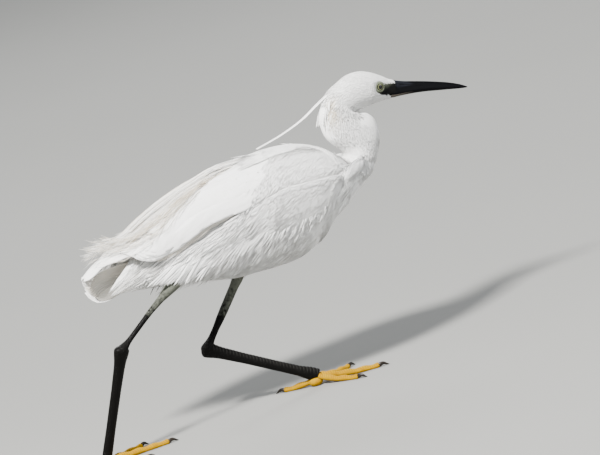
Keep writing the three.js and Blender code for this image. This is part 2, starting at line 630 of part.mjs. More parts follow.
function leg(word, { side, knee, ankle, foot, turn: heading, cuff }) {
  const kneeAt = v3(...knee);
  const ankleAt = v3(...ankle);
  const padAt = v3(foot[0], foot[1], PAD_LEVEL);
  const shin = ankleAt.clone().sub(kneeAt).normalize();
  const down = (s) => kneeAt.clone().addScaledVector(shin, s);
  const sideways = v3(0, 1, 0);

  const cuffStart = cuff - CUFF_LENGTH;
  const cuffSizes = LEG_STEPS.map((f) => lerp(CUFF_RADIUS[0], CUFF_RADIUS[1], Math.sqrt(f)));
  const cuffAt = LEG_STEPS.map((f) => down(cuffStart + CUFF_LENGTH * f));
  const sleeve = bar(cuffAt, cuffSizes, cuffSizes, 14, sideways);
  add(`thigh_${word}`, largest(sleeve.subtract(trunkClear)), 'plumage');

  const length = kneeAt.distanceTo(ankleAt);
  const toAnkle = new THREE.Quaternion().setFromUnitVectors(v3(0, 0, -1), shin);
  const knob = ball(ankleAt, ANKLE_KNOB, toAnkle);
  const knobClear = ball(ankleAt, ANKLE_KNOB.map((h) => h + GAP), toAnkle);
  const shinAt = LEG_STEPS.map((f) => down(lerp(cuff + GAP, length, f)));
  const shinBar = bar(shinAt, TIBIA_RADIUS.map((h) => h * 0.9), TIBIA_RADIUS, 10, sideways);
  add(`tibia_${word}`, largest(joined([shinBar, knob])), 'leg');

  const turn = new THREE.Quaternion().setFromAxisAngle(v3(0, 0, 1), rad(heading));
  const pad = ball(padAt, PAD, turn).subtract(floorCut);
  const padClear = ball(padAt, PAD.map((h) => h + GAP), turn);
  const tarsusEnd = padAt.clone().add(v3(0, 0, 0.8));
  const tarsusAt = LEG_STEPS.map((f) => ankleAt.clone().lerp(tarsusEnd, f));
  const shankBar = (grow) => bar(tarsusAt, TARSUS_HALF.wide.map((h) => h + grow),
    TARSUS_HALF.deep.map((h) => h + grow), 10, sideways);
  const shankCut = joined([knobClear, padClear, floorCut]);
  add(`tarsus_${word}`, largest(shankBar(0).subtract(shankCut)), 'leg');
  add(`foot_${word}`, largest(pad), 'toe');

  TOES.forEach((toe, n) => {
    const turned = rad(heading + (side === LEFT ? toe.turn : -toe.turn));
    const way = v3(Math.cos(turned), Math.sin(turned), 0);
    const count = 8;
    const steps = Array.from({ length: count + 1 }, (_, k) => k / count);
    const swell = (f) => 1 + TOE_SWELL * Math.cos(2 * Math.PI * f * toe.joints);
    const size = steps.map((f) => toe.radius * (1 - TOE_TAPER * f) * swell(f));
    const toeAt = steps.map((f, k) => {
      const high = size[k] - TOE_FLAT + TOE_ROOT_RISE * (1 - f) ** 3;
      return v3(foot[0], foot[1], high).addScaledVector(way, toe.length * f);
    });
    const flesh = bar(toeAt, size.map((h) => h * 1.05), size, 7, v3(0, 0, 1));
    const earlier = TOES.slice(0, n).map((other) => {
      const otherTurn = rad(heading + (side === LEFT ? other.turn : -other.turn));
      const otherWay = v3(Math.cos(otherTurn), Math.sin(otherTurn), 0);
      const begin = v3(foot[0], foot[1], TOE_SPACE.level);
      const ends = [begin, begin.clone().addScaledVector(otherWay, TOE_SPACE.reach)];
      return bar(ends, [TOE_SPACE.half, TOE_SPACE.half], [TOE_SPACE.high, TOE_SPACE.high], 8, v3(0, 0, 1));
    });
    const cutter = joined([padClear, floorCut, shankBar(GAP + 0.1), ...earlier]);
    add(`toe_${word}_${n + 1}`, largest(flesh.subtract(cutter)), 'toe');

    const claw = Array.from({ length: 5 }, (_, k) => k / 4);
    const clawAt = claw.map((f) => {
      const forward = toe.length + GAP + CLAW_LENGTH * f;
      const arch = CLAW_ARCH * Math.sin(Math.PI * Math.min(1, f * 1.25));
      const high = CLAW_RADIUS + 0.1 + arch - CLAW_DROP * f * f;
      return v3(foot[0], foot[1], high).addScaledVector(way, forward);
    });
    const clawSize = claw.map((f) => lerp(CLAW_RADIUS, CLAW_POINT, f ** 0.8));
    const nail = bar(clawAt, clawSize.map((h) => h * 0.8), clawSize, 7, v3(0, 0, 1), way);
    add(`claw_${word}_${n + 1}`, largest(nail.subtract(floorCut)), 'claw');
  });
}

// Assembly
const torsoBody = largest(joined([trunk, ...aigrettes(0), ...breastPlumes()]));
add('torso', torsoBody, 'plumage');
const neckParts = [
  neckPiece('neck_upper', 0, 3),
  neckPiece('neck_middle', 3, 6),
  neckPiece('neck_lower', 6, 8),
];
neckParts[0].body = largest(joined([neckParts[0].body, ...napeFeathers()]).subtract(skullClear));
neckParts[2].body = largest(neckParts[2].body.subtract(trunkClear));
neckParts.forEach(({ name, body }) => add(name, body, 'plumage'));
add('head', head(), 'plumage', headFrame);
add('upper_mandible', mandible(true), 'bill', headFrame);
add('lower_mandible', mandible(false), 'bill', headFrame);
for (const [word, side] of [['right', RIGHT], ['left', LEFT]]) {
  add(`eye_${word}`, eyeball(side, 0), 'eye', headFrame);
  add(`nape_plume_${word}`, napePlume(side), 'plumage');
  add(`wing_${word}`, wing(side), 'plumage');
}
add('tail', tail(), 'plumage');
for (const [word, data] of Object.entries(LEGS)) leg(word, data);

const LOOKS = {
  plumage: { color: 0xf7f6f2, roughness: 0.85, metalness: 0 },
  bill: { color: 0x17181b, roughness: 0.38, metalness: 0 },
  eye: { color: 0xd9d27a, roughness: 0.12, metalness: 0 },
  leg: { color: 0x1d1c1a, roughness: 0.5, metalness: 0 },
  toe: { color: 0xe2b21c, roughness: 0.55, metalness: 0 },
  claw: { color: 0x2a2521, roughness: 0.45, metalness: 0 },
};

// The bird's own frame stands at the middle of its footprint, on the floor.
const bird = new THREE.Group();
const meshes = pieces.map(({ name, body, look, parent }) => {
  const mesh = new THREE.Mesh(geometryOf(body), new THREE.MeshStandardMaterial(LOOKS[look]));
  mesh.name = name;
  (parent ?? bird).add(mesh);
  return mesh;
});
bird.add(headFrame);
bird.updateMatrixWorld(true);
const box = new THREE.Box3();
meshes.forEach((mesh) => box.expandByObject(mesh, true));
const middle = box.getCenter(v3(0, 0, 0));
bird.position.set(-middle.x, -middle.y, -box.min.z);

export default bird;
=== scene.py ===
"""A little egret at life size, walking, as a museum model. Lengths are in millimetres until a mesh is
made. X runs forward along the body, Y to the bird's left, Z up, and the toes rest on the floor."""

import math

import bpy
import numpy as np
from mathutils import Matrix, Vector


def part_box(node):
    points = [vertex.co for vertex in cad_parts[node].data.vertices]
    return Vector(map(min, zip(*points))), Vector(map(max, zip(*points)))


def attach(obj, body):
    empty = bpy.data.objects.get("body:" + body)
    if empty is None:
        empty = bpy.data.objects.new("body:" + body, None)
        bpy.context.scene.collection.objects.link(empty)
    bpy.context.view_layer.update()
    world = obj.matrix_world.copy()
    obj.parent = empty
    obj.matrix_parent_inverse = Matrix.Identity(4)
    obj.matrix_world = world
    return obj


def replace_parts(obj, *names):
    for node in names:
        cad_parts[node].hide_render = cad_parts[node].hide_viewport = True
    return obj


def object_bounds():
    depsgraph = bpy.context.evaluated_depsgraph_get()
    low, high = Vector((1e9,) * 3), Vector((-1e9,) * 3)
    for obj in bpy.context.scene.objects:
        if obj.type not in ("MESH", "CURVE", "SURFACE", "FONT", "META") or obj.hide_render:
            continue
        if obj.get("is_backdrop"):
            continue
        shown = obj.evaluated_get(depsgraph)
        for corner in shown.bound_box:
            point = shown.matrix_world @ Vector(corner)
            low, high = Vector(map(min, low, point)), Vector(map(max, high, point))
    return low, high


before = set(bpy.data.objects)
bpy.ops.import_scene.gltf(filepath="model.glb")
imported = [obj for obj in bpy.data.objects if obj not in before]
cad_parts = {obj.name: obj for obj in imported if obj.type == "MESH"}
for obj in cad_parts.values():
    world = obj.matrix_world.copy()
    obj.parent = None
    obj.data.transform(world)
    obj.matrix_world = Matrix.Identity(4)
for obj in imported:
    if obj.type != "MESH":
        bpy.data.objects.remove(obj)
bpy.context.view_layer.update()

# Skin. One closed form under all the feathers, from the bill's base over head, neck and chest to the
# rump. It is lofted through rings and lies inside the outline by the depth of the coat, with hollows
# for the eyes, brows over them, bare lores and the corner of the mouth.
MM = 0.001
RIGHT, LEFT = -1, 1
SIDES = {"right": RIGHT, "left": LEFT}
TINY = 1e-9                     # keeps a division from meeting 0
PAD_X = 41                      # the ball of the left foot, along the body
pad_low, pad_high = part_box("foot_left")
SHIFT_X = (pad_low.x + pad_high.x) / 2 - PAD_X * MM

HEAD_AT = np.array([179, 9, 248.6])
HEAD_TURN = math.radians(8)
HEAD_DIP = math.radians(18.5)
HEAD_WAY = np.array([math.cos(HEAD_TURN) * math.cos(HEAD_DIP), math.sin(HEAD_TURN) * math.cos(HEAD_DIP),
                     -math.sin(HEAD_DIP)])
HEAD_LEFT = np.array([-math.sin(HEAD_TURN), math.cos(HEAD_TURN), 0])
HEAD_UP = np.cross(HEAD_WAY, HEAD_LEFT)
HEAD_AXES = np.array([HEAD_WAY, HEAD_LEFT, HEAD_UP])

# Rings: top or back point, bottom or front point, half width, place of the widest level from the
# top, narrowing of the upper side, turn to the left in degrees.
HEAD_RINGS = [
    [19.5, 0, 7.2, 19.5, 0, -9.6, 6.6, 0.5, 0, 0],
    [13, 0, 8.8, 13, 0, -11.2, 8.6, 0.5, 0.04, 0],
    [4, 0, 12.2, 3, 0, -13.8, 11.4, 0.48, 0.1, 0],
    [-6, 0, 15, -8, 0, -17.3, 14, 0.48, 0.08, 0],
    [-17, 0, 15.9, -17, 0, -21, 15.4, 0.48, 0.04, 0],
    [-29, 0, 13, -21.5, 0, -23.7, 15.6, 0.48, 0, 0],
    [-40, 0, 5.6, -23.3, 0, -25, 15.2, 0.49, 0, 0],
    [-50, 0, -3, -24, 0, -26, 14.5, 0.5, 0, 0],
]
NECK_RINGS = [
    [120, 1.5, 251.5, 154, 3.5, 231.5, 14.6, 0.5, 0, 5],
    [114, 1, 241.5, 162.5, 2.5, 230, 15.5, 0.5, 0, 3],
    [112.5, 0.5, 231, 168.4, 1.5, 222.5, 16.5, 0.5, 0, 1],
    [114, 0, 221, 169.4, 1, 212, 17, 0.5, 0, 0],
    [119, 0, 212.5, 167.8, 0.5, 203, 17.5, 0.5, 0, 0],
    [125, 0, 207, 163.6, 0, 195, 18, 0.5, 0, 0],
    [127.5, 0, 201.5, 159, 0, 187, 19.5, 0.5, 0, 0],
]
CHEST_RINGS = [
    [122.5, 0, 197.5, 152, 0, 178.5, 22, 0.5, 0, 0],
    [117, 0, 204, 139, 0, 169.5, 28, 0.5, 0, 0],
    [112.5, 0, 210.5, 127, 0, 163.5, 33.5, 0.5, 0.02, 0],
    [107, 0, 216.5, 115.5, 0, 156, 38.5, 0.52, 0.05, 0],
]
BODY_SECTIONS = [               # X, top, bottom, half width
    [99, 221.5, 146, 42], [85, 226.5, 134.5, 44.6], [66, 230, 124, 46], [44, 231.4, 120.2, 46.5],
    [18, 230.2, 121.3, 46], [-10, 226.4, 124.3, 44.5], [-40, 217.5, 131.3, 41], [-68, 207, 138.3, 35.5],
    [-86, 192, 142, 28], [-98, 178, 145, 21], [-106, 167.5, 149, 12.5], [-109, 161, 153.5, 4],
]
BODY_WIDEST, BODY_NARROW = 0.56, 0.13
COAT_DEPTH = {0: 0.5, 2: 0.8, 5: 1.3, 8: 1.5, 14: 2.0, 18: 2.6, 22: 3.2, 27: 3.2, 30: 2.0}   # by ring
RING_STEP = {0: 1.0, 7: 1.3, 9: 1.8, 18: 2.4, 30: 2.6}     # distance between the mesh's rings, by ring
SKIN_SIDES = 96
FINE_STEPS = 3000               # along the middle line, to set the rings by their distance
FACE_RINGS = 8                  # the rings that carry the face
# How far the socket, brow, lore, corner of the mouth and cheek stand out on each side of the face.
SOCKET_OUT, BROW_OUT, LORE_OUT, MOUTH_OUT, CHEEK_OUT = -2.0, 0.8, -1.0, -0.7, 0.5
BARE_RADIUS, BARE_SOFT = 5.4, 0.9      # of the bare ring round the eye, and how wide its edge blends
BARE_INNER, BARE_FRONT = 3.4, 30       # the bare skin keeps off the middle of the head and ends at the bill


def from_head(points):
    return HEAD_AT + np.asarray(points, float) @ HEAD_AXES


def to_head(points):
    return (points - HEAD_AT) @ HEAD_AXES.T


def spline(rows, u):
    """A smooth curve through rows of numbers, u counting the rows."""
    rows, u = np.asarray(rows, float), np.asarray(u, float)
    i = np.clip(np.floor(u).astype(int), 0, len(rows) - 2)
    f = (u - i)[:, None]
    a, b, c, d = (rows[np.clip(i + k, 0, len(rows) - 1)] for k in (-1, 0, 1, 2))
    return b + 0.5 * f * (c - a + f * (2 * a - 5 * b + 4 * c - d + f * (3 * (b - c) + d - a)))


def by_ring(table, u):
    return np.interp(u, list(table), list(table.values()))


def rings_of(rows, angles, inset):
    """Points of lofted rings. Angles run from the top down the left side; inset is one for each ring."""
    top, low = rows[:, None, 0:3], rows[:, None, 3:6]
    axis = low - top
    unit = axis / np.linalg.norm(axis, axis=2, keepdims=True)
    inset = inset[:, None, None]
    top, axis = top + unit * inset, axis - 2 * unit * inset
    turn = np.radians(rows[:, 9])
    sideways = np.stack([-np.sin(turn), np.cos(turn), 0 * turn], 1)[:, None, :]
    half, widest, narrow = (rows[:, None, k] for k in (6, 7, 8))
    c, s = np.cos(angles)[None], np.sin(angles)[None]
    down = np.where(c > 0, widest * (1 - c), widest - (1 - widest) * c)
    out = (half - inset[:, :, 0]) * s * (1 - narrow * np.maximum(0, c))
    return top + axis * down[..., None] + sideways * out[..., None]


def mesh_object(name, points, faces, looks=(), numbers=None):
    """A mesh from points in millimetres, with its materials and with numbers kept at its vertices."""
    mesh = bpy.data.meshes.new(name)
    points = np.asarray(points, float).reshape(-1, 3) * MM + [SHIFT_X, 0, 0]
    mesh.from_pydata(points, [], faces if isinstance(faces, list) else faces.tolist())
    mesh.polygons.foreach_set("use_smooth", [True] * len(mesh.polygons))
    for look in looks:
        mesh.materials.append(look)
    for key, values in (numbers or {}).items():
        values = np.asarray(values, np.float32)
        kind, field = ("FLOAT", "value") if values.ndim == 1 else ("FLOAT_VECTOR", "vector")
        mesh.attributes.new(key, kind, "POINT").data.foreach_set(field, values.ravel())
    piece = bpy.data.objects.new(name, mesh)
    bpy.context.scene.collection.objects.link(piece)
    return piece


def tube_faces(rings, sides):
    """Faces between closed rings of points, with a fan over each end from two last points."""
    r, s = np.meshgrid(np.arange(rings - 1), np.arange(sides), indexing="ij")
    a, b = r * sides + s, r * sides + (s + 1) % sides
    walls = np.stack([a, b, b + sides, a + sides], -1).reshape(-1, 4).tolist()
    first, last = rings * sides, rings * sides + 1
    end = (rings - 1) * sides
    for k in range(sides):
        n = (k + 1) % sides
        walls += [[first, n, k], [last, end + k, end + n]]
    return walls


def outward(piece):
    """Turns a closed form's faces outwards."""
    mesh = piece.data
    points = np.empty(len(mesh.vertices) * 3)
    mesh.vertices.foreach_get("co", points)
    mesh.calc_loop_triangles()
    corners = np.empty(len(mesh.loop_triangles) * 3, int)
    mesh.loop_triangles.foreach_get("vertices", corners)
    a, b, c = (points.reshape(-1, 3)[corners.reshape(-1, 3)[:, k]] for k in range(3))
    if np.einsum("ij,ij->i", a, np.cross(b, c)).sum() < 0:
        mesh.flip_normals()
    return piece


head_rows = [[*from_head(r[0:3]), *from_head(r[3:6]), *r[6:9], math.degrees(HEAD_TURN)] for r in HEAD_RINGS]
body_rows = [[x, 0, top, x, 0, low, half, BODY_WIDEST, BODY_NARROW, 0]
             for x, top, low, half in BODY_SECTIONS]
FLESH_ROWS = np.array(head_rows + NECK_RINGS + CHEST_RINGS + body_rows)

fine = np.linspace(0, len(FLESH_ROWS) - 1, FINE_STEPS)
fine_rows = spline(FLESH_ROWS, fine)
middle = (fine_rows[:, 0:3] + fine_rows[:, 3:6]) / 2
pace = np.linalg.norm(np.diff(middle, axis=0), axis=1)
tally = np.concatenate([[0], np.cumsum(pace / by_ring(RING_STEP, fine[1:]))])
skin_u = np.interp(np.arange(0, int(tally[-1]) + 1), tally, fine)
skin_angles = np.linspace(0, 2 * np.pi, SKIN_SIDES + 1)


def head_relief(points):
    """How far the skin is pushed out or in on each side of the face, in the head's own frame."""
    x, y, z = to_head(points).T
    on_side = np.clip(np.abs(y) / 5, 0, 1) * (x > -30) * (x < 22)
    eye = np.exp(-((x / 6.2) ** 2 + (z / 5.6) ** 2) ** 1.5)
    brow = np.exp(-(((x + 1) / 7) ** 2 + ((z - 6.4) / 2.2) ** 2))
    lore = np.exp(-(((x - 12) / 6) ** 2 + ((z + 0.5) / 3.6) ** 2))
    mouth = np.exp(-((z + 7.6 - 0.06 * x) / 0.8) ** 2) * np.clip((x + 7) / 4, 0, 1)
    cheek = np.exp(-(((x + 9) / 9) ** 2 + ((z + 10) / 5) ** 2))
    return on_side * (SOCKET_OUT * eye + BROW_OUT * brow + LORE_OUT * lore + MOUTH_OUT * mouth
                      + CHEEK_OUT * cheek)


def flesh(u, angles):
    """Points of the skin at each ring of u and each angle."""
    points = rings_of(spline(FLESH_ROWS, u), angles, by_ring(COAT_DEPTH, u))
    flat = points.reshape(-1, 3)
    on_face = np.repeat(u, len(angles)) < FACE_RINGS
    push = np.where(on_face, head_relief(flat), 0) * np.sign(to_head(flat)[:, 1])
    return (flat + push[:, None] * HEAD_LEFT).reshape(points.shape)


def bare_face(points):
    """1 where the face has no feathers: lores, a ring round each eye, and back under the eye."""
    x, y, z = to_head(points).T
    upper = np.where(x > 6, 4.6 + 0.03 * (x - 12) + 0.5 * np.sin(1.9 * x) * (x > 9), 4.4)
    lower = -6.9 - 0.05 * x - 0.35 * np.sin(1.4 * x + 1)
    in_lore = np.minimum(np.minimum(upper - z, z - lower), (x + 2.5 - 0.35 * np.abs(z + 1)))
    round_eye = BARE_RADIUS - np.hypot(x, z)
    inside = np.maximum(in_lore, round_eye)
    return np.clip(inside / BARE_SOFT + 0.5, 0, 1) * (np.abs(y) > BARE_INNER) * (x < BARE_FRONT)


skin_points = flesh(skin_u, skin_angles[:-1])
skin_flat = skin_points.reshape(-1, 3)
skin_ends = [skin_points[0].mean(0), skin_points[-1].mean(0)]
skin_all = np.vstack([skin_flat, skin_ends])
skin_bare = bare_face(skin_all)
skin_bare[-2:] = [1, 0]
face_x, _, face_z = to_head(skin_all).T            # the lores blacken towards the bill and the mouth
skin_black = np.clip(0.5 + 0.9 * (0.12 * face_x - 0.22 * face_z - 0.8), 0, 1)


def colour(r, g, b):
    return (r, g, b, 1)


BLACK, WHITE = colour(0, 0, 0), colour(1, 1, 1)


def adder(tree):
    """A function that adds a node to a tree, with its settings, and wires or sets its inputs, which it
    knows by name or by _ and their number."""

    def node(kind, settings=None, **wires):
        made = tree.nodes.new(kind)
        for key, value in (settings or {}).items():
            setattr(made, key, value)
        for key, value in wires.items():
            socket = made.inputs[int(key[1:])] if key[0] == "_" else made.inputs[key.replace("_", " ")]
            if isinstance(value, bpy.types.NodeSocket):
                tree.links.new(value, socket)
            else:
                socket.default_value = value
        return made

    return node


def material(name, roughness, under=0.0, gloss=0.5):
    """A material's tools: a function that adds nodes to it, and its shader. under is the light that
    wanders below the surface."""
    look = bpy.data.materials.new(name)
    look.use_nodes = True
    shader = look.node_tree.nodes["Principled BSDF"]
    shader.inputs["Roughness"].default_value = roughness
    shader.inputs["Specular IOR Level"].default_value = gloss
    shader.inputs["Coat Roughness"].default_value = 0.08
    shader.inputs["Subsurface Weight"].default_value = under
    shader.inputs["Subsurface Radius"].default_value = (1.0, 0.9, 0.75)
    shader.inputs["Subsurface Scale"].default_value = 2.5 * MM
    return look, adder(look.node_tree), shader


def wire(shader, **sockets):
    for key, value in sockets.items():
        shader.id_data.links.new(value, shader.inputs[key.replace("_", " ")])


def attribute(node, name, kind="Fac"):
    return node("ShaderNodeAttribute", {"attribute_name": name}).outputs[kind]


def worked(node, operation, *values, **settings):
    """The number that a Math node gives."""
    inputs = {f"_{place}": value for place, value in enumerate(values)}
    return node("ShaderNodeMath", {"operation": operation, **settings}, **inputs).outputs[0]


def ramp(node, value, stops):
    """A colour ramp from {place: colour}."""
    made = node("ShaderNodeValToRGB", Fac=value)
    elements = made.color_ramp.elements
    while len(elements) < len(stops):
        elements.new(0.5)
    for element, (place, shade) in zip(elements, stops.items()):
        element.position, element.color = place, shade
    return made.outputs["Color"]


def mix(node, amount, first, second):
    """A colour between two."""
    return node("ShaderNodeMix", {"data_type": "RGBA"}, Factor=amount, _6=first, _7=second).outputs[2]


def spots(node, grain, detail=3.0, stretch=(1, 1, 1)):
    """Noise over the piece's own coordinates, with the size of its grain in millimetres."""
    place = node("ShaderNodeTexCoord").outputs["Object"]
    shaped = node("ShaderNodeMapping", Vector=place, Scale=stretch).outputs["Vector"]
    made = node("ShaderNodeTexNoise", Vector=shaped, Scale=1 / (grain * MM), Detail=detail, Roughness=0.55)
    return made.outputs["Fac"]


def raised(node, height, distance):
    """The normal of a surface that rises up to a distance in millimetres."""
    return node("ShaderNodeBump", Height=height, Distance=distance * MM).outputs["Normal"]


DOWN_WHITE = colour(0.90, 0.895, 0.875)
LORE_OLIVE = colour(0.105, 0.11, 0.075)
LORE_GREY = colour(0.05, 0.055, 0.045)
LORE_BLACK = colour(0.003, 0.003, 0.003)

skin_look, node, shader = material("skin_and_down", 0.7, under=0.1, gloss=0.1)
lore_patches = ramp(node, spots(node, 2.4), {0.35: LORE_GREY, 0.7: LORE_OLIVE})
lore = mix(node, attribute(node, "black"), lore_patches, LORE_BLACK)
wire(shader, Base_Color=mix(node, attribute(node, "bare"), DOWN_WHITE, lore),
     Normal=raised(node, spots(node, 0.7), 0.12))
skin = outward(mesh_object("skin", skin_all, tube_faces(len(skin_u), SKIN_SIDES), [skin_look],
                           numbers={"bare": skin_bare, "black": skin_black}))
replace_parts(skin, "torso", "neck_upper", "neck_middle", "neck_lower", "head")
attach(skin, "root")

# Body feathers. Narrow soft locks laid over the skin like shingles, from the bill back to the rump:
# tiny and flat on the face, longer down the neck, longest on breast, flanks and under the tail. Each
# is a thin closed blade with its root sunk in the skin.
LOCK_STATIONS = {0.0: 0.75, 0.3: 1.0, 0.68: 0.7, 1.0: 0.0}     # share of the length: share of the width
LOCK_ARCH = 0.30                # how high the middle of a lock bows, as a share of its thickness
LOCK_RIDGE, LOCK_SUNK = 0.16, 0.1
LOCK_BENDS = {"lock_a": 0.12, "lock_b": -0.14, "lock_c": 0.03}
PATCH = 0.003                   # each lock's patch on the unwrap of the skin


def lock(name, bend):
    """A lock of unit length and width, along X, that curves sideways by bend."""
    points, places = [], []
    for x, width in LOCK_STATIONS.items():
        side = bend * x * x
        z = LOCK_ARCH * math.sin(math.pi * x * 0.8) - LOCK_SUNK
        if width:
            points += [(x, side - width / 2, z), (x, side + width / 2, z), (x, side, z + LOCK_RIDGE * width)]
            places += [(x, 0.0), (x, 1.0), (x, 0.5)]
        else:
            points.append((x, side, z))
            places.append((x, 0.5))
    faces = [(0, 1, 2)]
    last = 3 * (len(LOCK_STATIONS) - 2)
    for a in range(0, last, 3):
        for m in range(3):
            n = (m + 1) % 3
            faces.append((a + n, a + m, a + m + 3, a + n + 3))
    faces += [(last + 1, last, last + 3), (last + 2, last + 1, last + 3), (last, last + 2, last + 3)]
    mesh = bpy.data.meshes.new(name)
    mesh.from_pydata(points, [], faces)
    mesh.polygons.foreach_set("use_smooth", [True] * len(mesh.polygons))
    spot = mesh.attributes.new("spot", "FLOAT_VECTOR", "POINT")
    spot.data.foreach_set("vector", np.array([(x, y, 0) for x, y in places], np.float32).ravel())
    return bpy.data.objects.new(name, mesh)


lock_box = bpy.data.collections.new("locks")
for lock_name, lock_bend in LOCK_BENDS.items():
    lock_box.objects.link(lock(lock_name, lock_bend))


def group(name, kind, inputs, output, output_kind):
    """A node group with its named sockets, a function that adds nodes to it, and its two ends."""
    tree = bpy.data.node_groups.new(name, kind)
    for socket_name, socket_kind in inputs.items():
        tree.interface.new_socket(socket_name, in_out="INPUT", socket_type="NodeSocket" + socket_kind)
    tree.interface.new_socket(output, in_out="OUTPUT", socket_type="NodeSocket" + output_kind)
    first, last = tree.nodes.new("NodeGroupInput"), tree.nodes.new("NodeGroupOutput")
    return tree, adder(tree), first.outputs, last.inputs


laying, growing, given, grown_out = group("lay_locks", "GeometryNodeTree", {
    "Ground": "Geometry", "Locks": "Collection", "Seed": "Int", "Yaw spread": "Float",
    "Size spread": "Float", "Finish": "Material"}, "Coat", "Geometry")
COAT_SOCKETS = {item.name: item.identifier for item in laying.interface.items_tree}


def read(name, kind="FLOAT"):
    return growing("GeometryNodeInputNamedAttribute", {"data_type": kind}, Name=name).outputs["Attribute"]


def draw(low, high, shift):
    """A random number for each lock, between two values."""
    seed = worked(growing, "ADD", given["Seed"], shift)
    return growing("FunctionNodeRandomValue", {"data_type": "FLOAT"}, _2=low, _3=high, _8=seed).outputs[1]


def vector(operation, first, second=None, **wires):
    """The vector that a Vector Math node gives."""
    if second is not None:
        wires["_1"] = second
    return growing("ShaderNodeVectorMath", {"operation": operation}, _0=first, **wires).outputs[0]


def kept(points, name, kind, value, domain="POINT"):
    """Geometry that carries a named value."""
    return growing("GeometryNodeStoreNamedAttribute", {"data_type": kind, "domain": domain},
                   Geometry=points, Name=name, Value=value).outputs[0]


# Roots are scattered over the ground, and each lock stands along its lie, leaned and sized at random.
spread = growing("GeometryNodeDistributePointsOnFaces", Mesh=given["Ground"], Density=read("crowd"),
                 Seed=given["Seed"])
upright = growing("FunctionNodeAxesToRotation", {"primary_axis": "Z", "secondary_axis": "X"},
                  _0=spread.outputs["Normal"], _1=read("lie", "FLOAT_VECTOR"))
own_lift = worked(growing, "MULTIPLY_ADD", draw(0.8, 1.2, 3), read("lift"), 0.0)
raise_tip = worked(growing, "MULTIPLY", own_lift, -1.0)
least_yaw = worked(growing, "MULTIPLY", given["Yaw spread"], -1.0)
leaning = growing("ShaderNodeCombineXYZ", X=draw(-0.03, 0.03, 4), Y=raise_tip,
                  Z=draw(least_yaw, given["Yaw spread"], 5))
turned = growing("FunctionNodeRotateRotation", {"rotation_space": "LOCAL"}, Rotation=upright.outputs[0],
                 Rotate_By=growing("FunctionNodeEulerToRotation", Euler=leaning.outputs[0]).outputs[0])
smallest = worked(growing, "SUBTRACT", 1.0, given["Size spread"])
largest = worked(growing, "ADD", 1.0, given["Size spread"])
own_size = vector("SCALE", read("size", "FLOAT_VECTOR"), Scale=draw(smallest, largest, 6))
own_length = growing("ShaderNodeSeparateXYZ", Vector=own_size).outputs[0]
which = growing("FunctionNodeRandomValue", {"data_type": "INT"}, _5=len(LOCK_BENDS) - 1, _8=given["Seed"])
roots = kept(spread.outputs["Points"], "shade", "FLOAT", draw(0.0, 1.0, 7))
roots = kept(roots, "ground_way", "FLOAT_VECTOR", spread.outputs["Normal"])
roots = kept(roots, "reach", "FLOAT", own_length)
shapes = growing("GeometryNodeCollectionInfo", Collection=given["Locks"], Separate_Children=True,
                 Reset_Children=True)
placed = growing("GeometryNodeInstanceOnPoints", Points=roots, Instance=shapes.outputs[0],
                 Pick_Instance=True, Instance_Index=which.outputs[2], Rotation=turned.outputs[0],
                 Scale=own_size)
real = growing("GeometryNodeRealizeInstances", Geometry=placed.outputs[0])

# A lock bends with the hollow or round of its ground, and takes a patch of the skin's unwrap.
along_lock = growing("ShaderNodeSeparateXYZ", Vector=read("spot", "FLOAT_VECTOR")).outputs[0]
from_root = worked(growing, "MULTIPLY", along_lock, read("reach"))
squared = worked(growing, "MULTIPLY", from_root, from_root)
sag = worked(growing, "MULTIPLY", worked(growing, "MULTIPLY", squared, read("hollow")), 0.5)
bent = growing("GeometryNodeSetPosition", Geometry=real.outputs[0],
               Offset=vector("SCALE", read("ground_way", "FLOAT_VECTOR"), Scale=sag))
inner = vector("SCALE", read("spot", "FLOAT_VECTOR"), Scale=PATCH)
patch = vector("ADD", read("unwrap", "FLOAT_VECTOR"), inner)
mapped = kept(bent.outputs[0], "OFBake", "FLOAT2", patch, domain="CORNER")
finished = growing("GeometryNodeSetMaterial", Geometry=mapped, Material=given["Finish"])
laying.links.new(finished.outputs[0], grown_out[0])


def lay_coat(name, ground, finish, seed, yaw=0.14, spread_of_size=0.25):
    """Covers a ground with locks and makes them into one plain mesh."""
    layer = ground.modifiers.new("coat", "NODES")
    layer.node_group = laying
    for key, value in (("Locks", lock_box), ("Seed", seed), ("Yaw spread", yaw),
                       ("Size spread", spread_of_size), ("Finish", finish)):
        layer[COAT_SOCKETS[key]] = value
    bpy.context.view_layer.update()
    graph = bpy.context.evaluated_depsgraph_get()
    mesh = bpy.data.meshes.new_from_object(ground.evaluated_get(graph))
    mesh.name = name
    ground.modifiers.remove(layer)
    bpy.data.objects.remove(ground)
    for extra in ("lie", "unwrap", "size", "lift", "crowd", "spot", "hollow", "reach"):
        if extra in mesh.attributes:
            mesh.attributes.remove(mesh.attributes[extra])
    coat = bpy.data.objects.new(name, mesh)
    bpy.context.scene.collection.objects.link(coat)
    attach(coat, "root")


def unit(vectors):
    return vectors / np.maximum(np.linalg.norm(vectors, axis=-1, keepdims=True), TINY)


def stack(length, width, thick):
    return np.stack(np.broadcast_arrays(length, width, thick), -1)


EVENED_OVER = 9                 # rows over which the bend of the ground is evened out
MOST_ROUND, MOST_HOLLOW = -0.09, 0.12      # bend of the ground that a lock still follows, 1 / mm


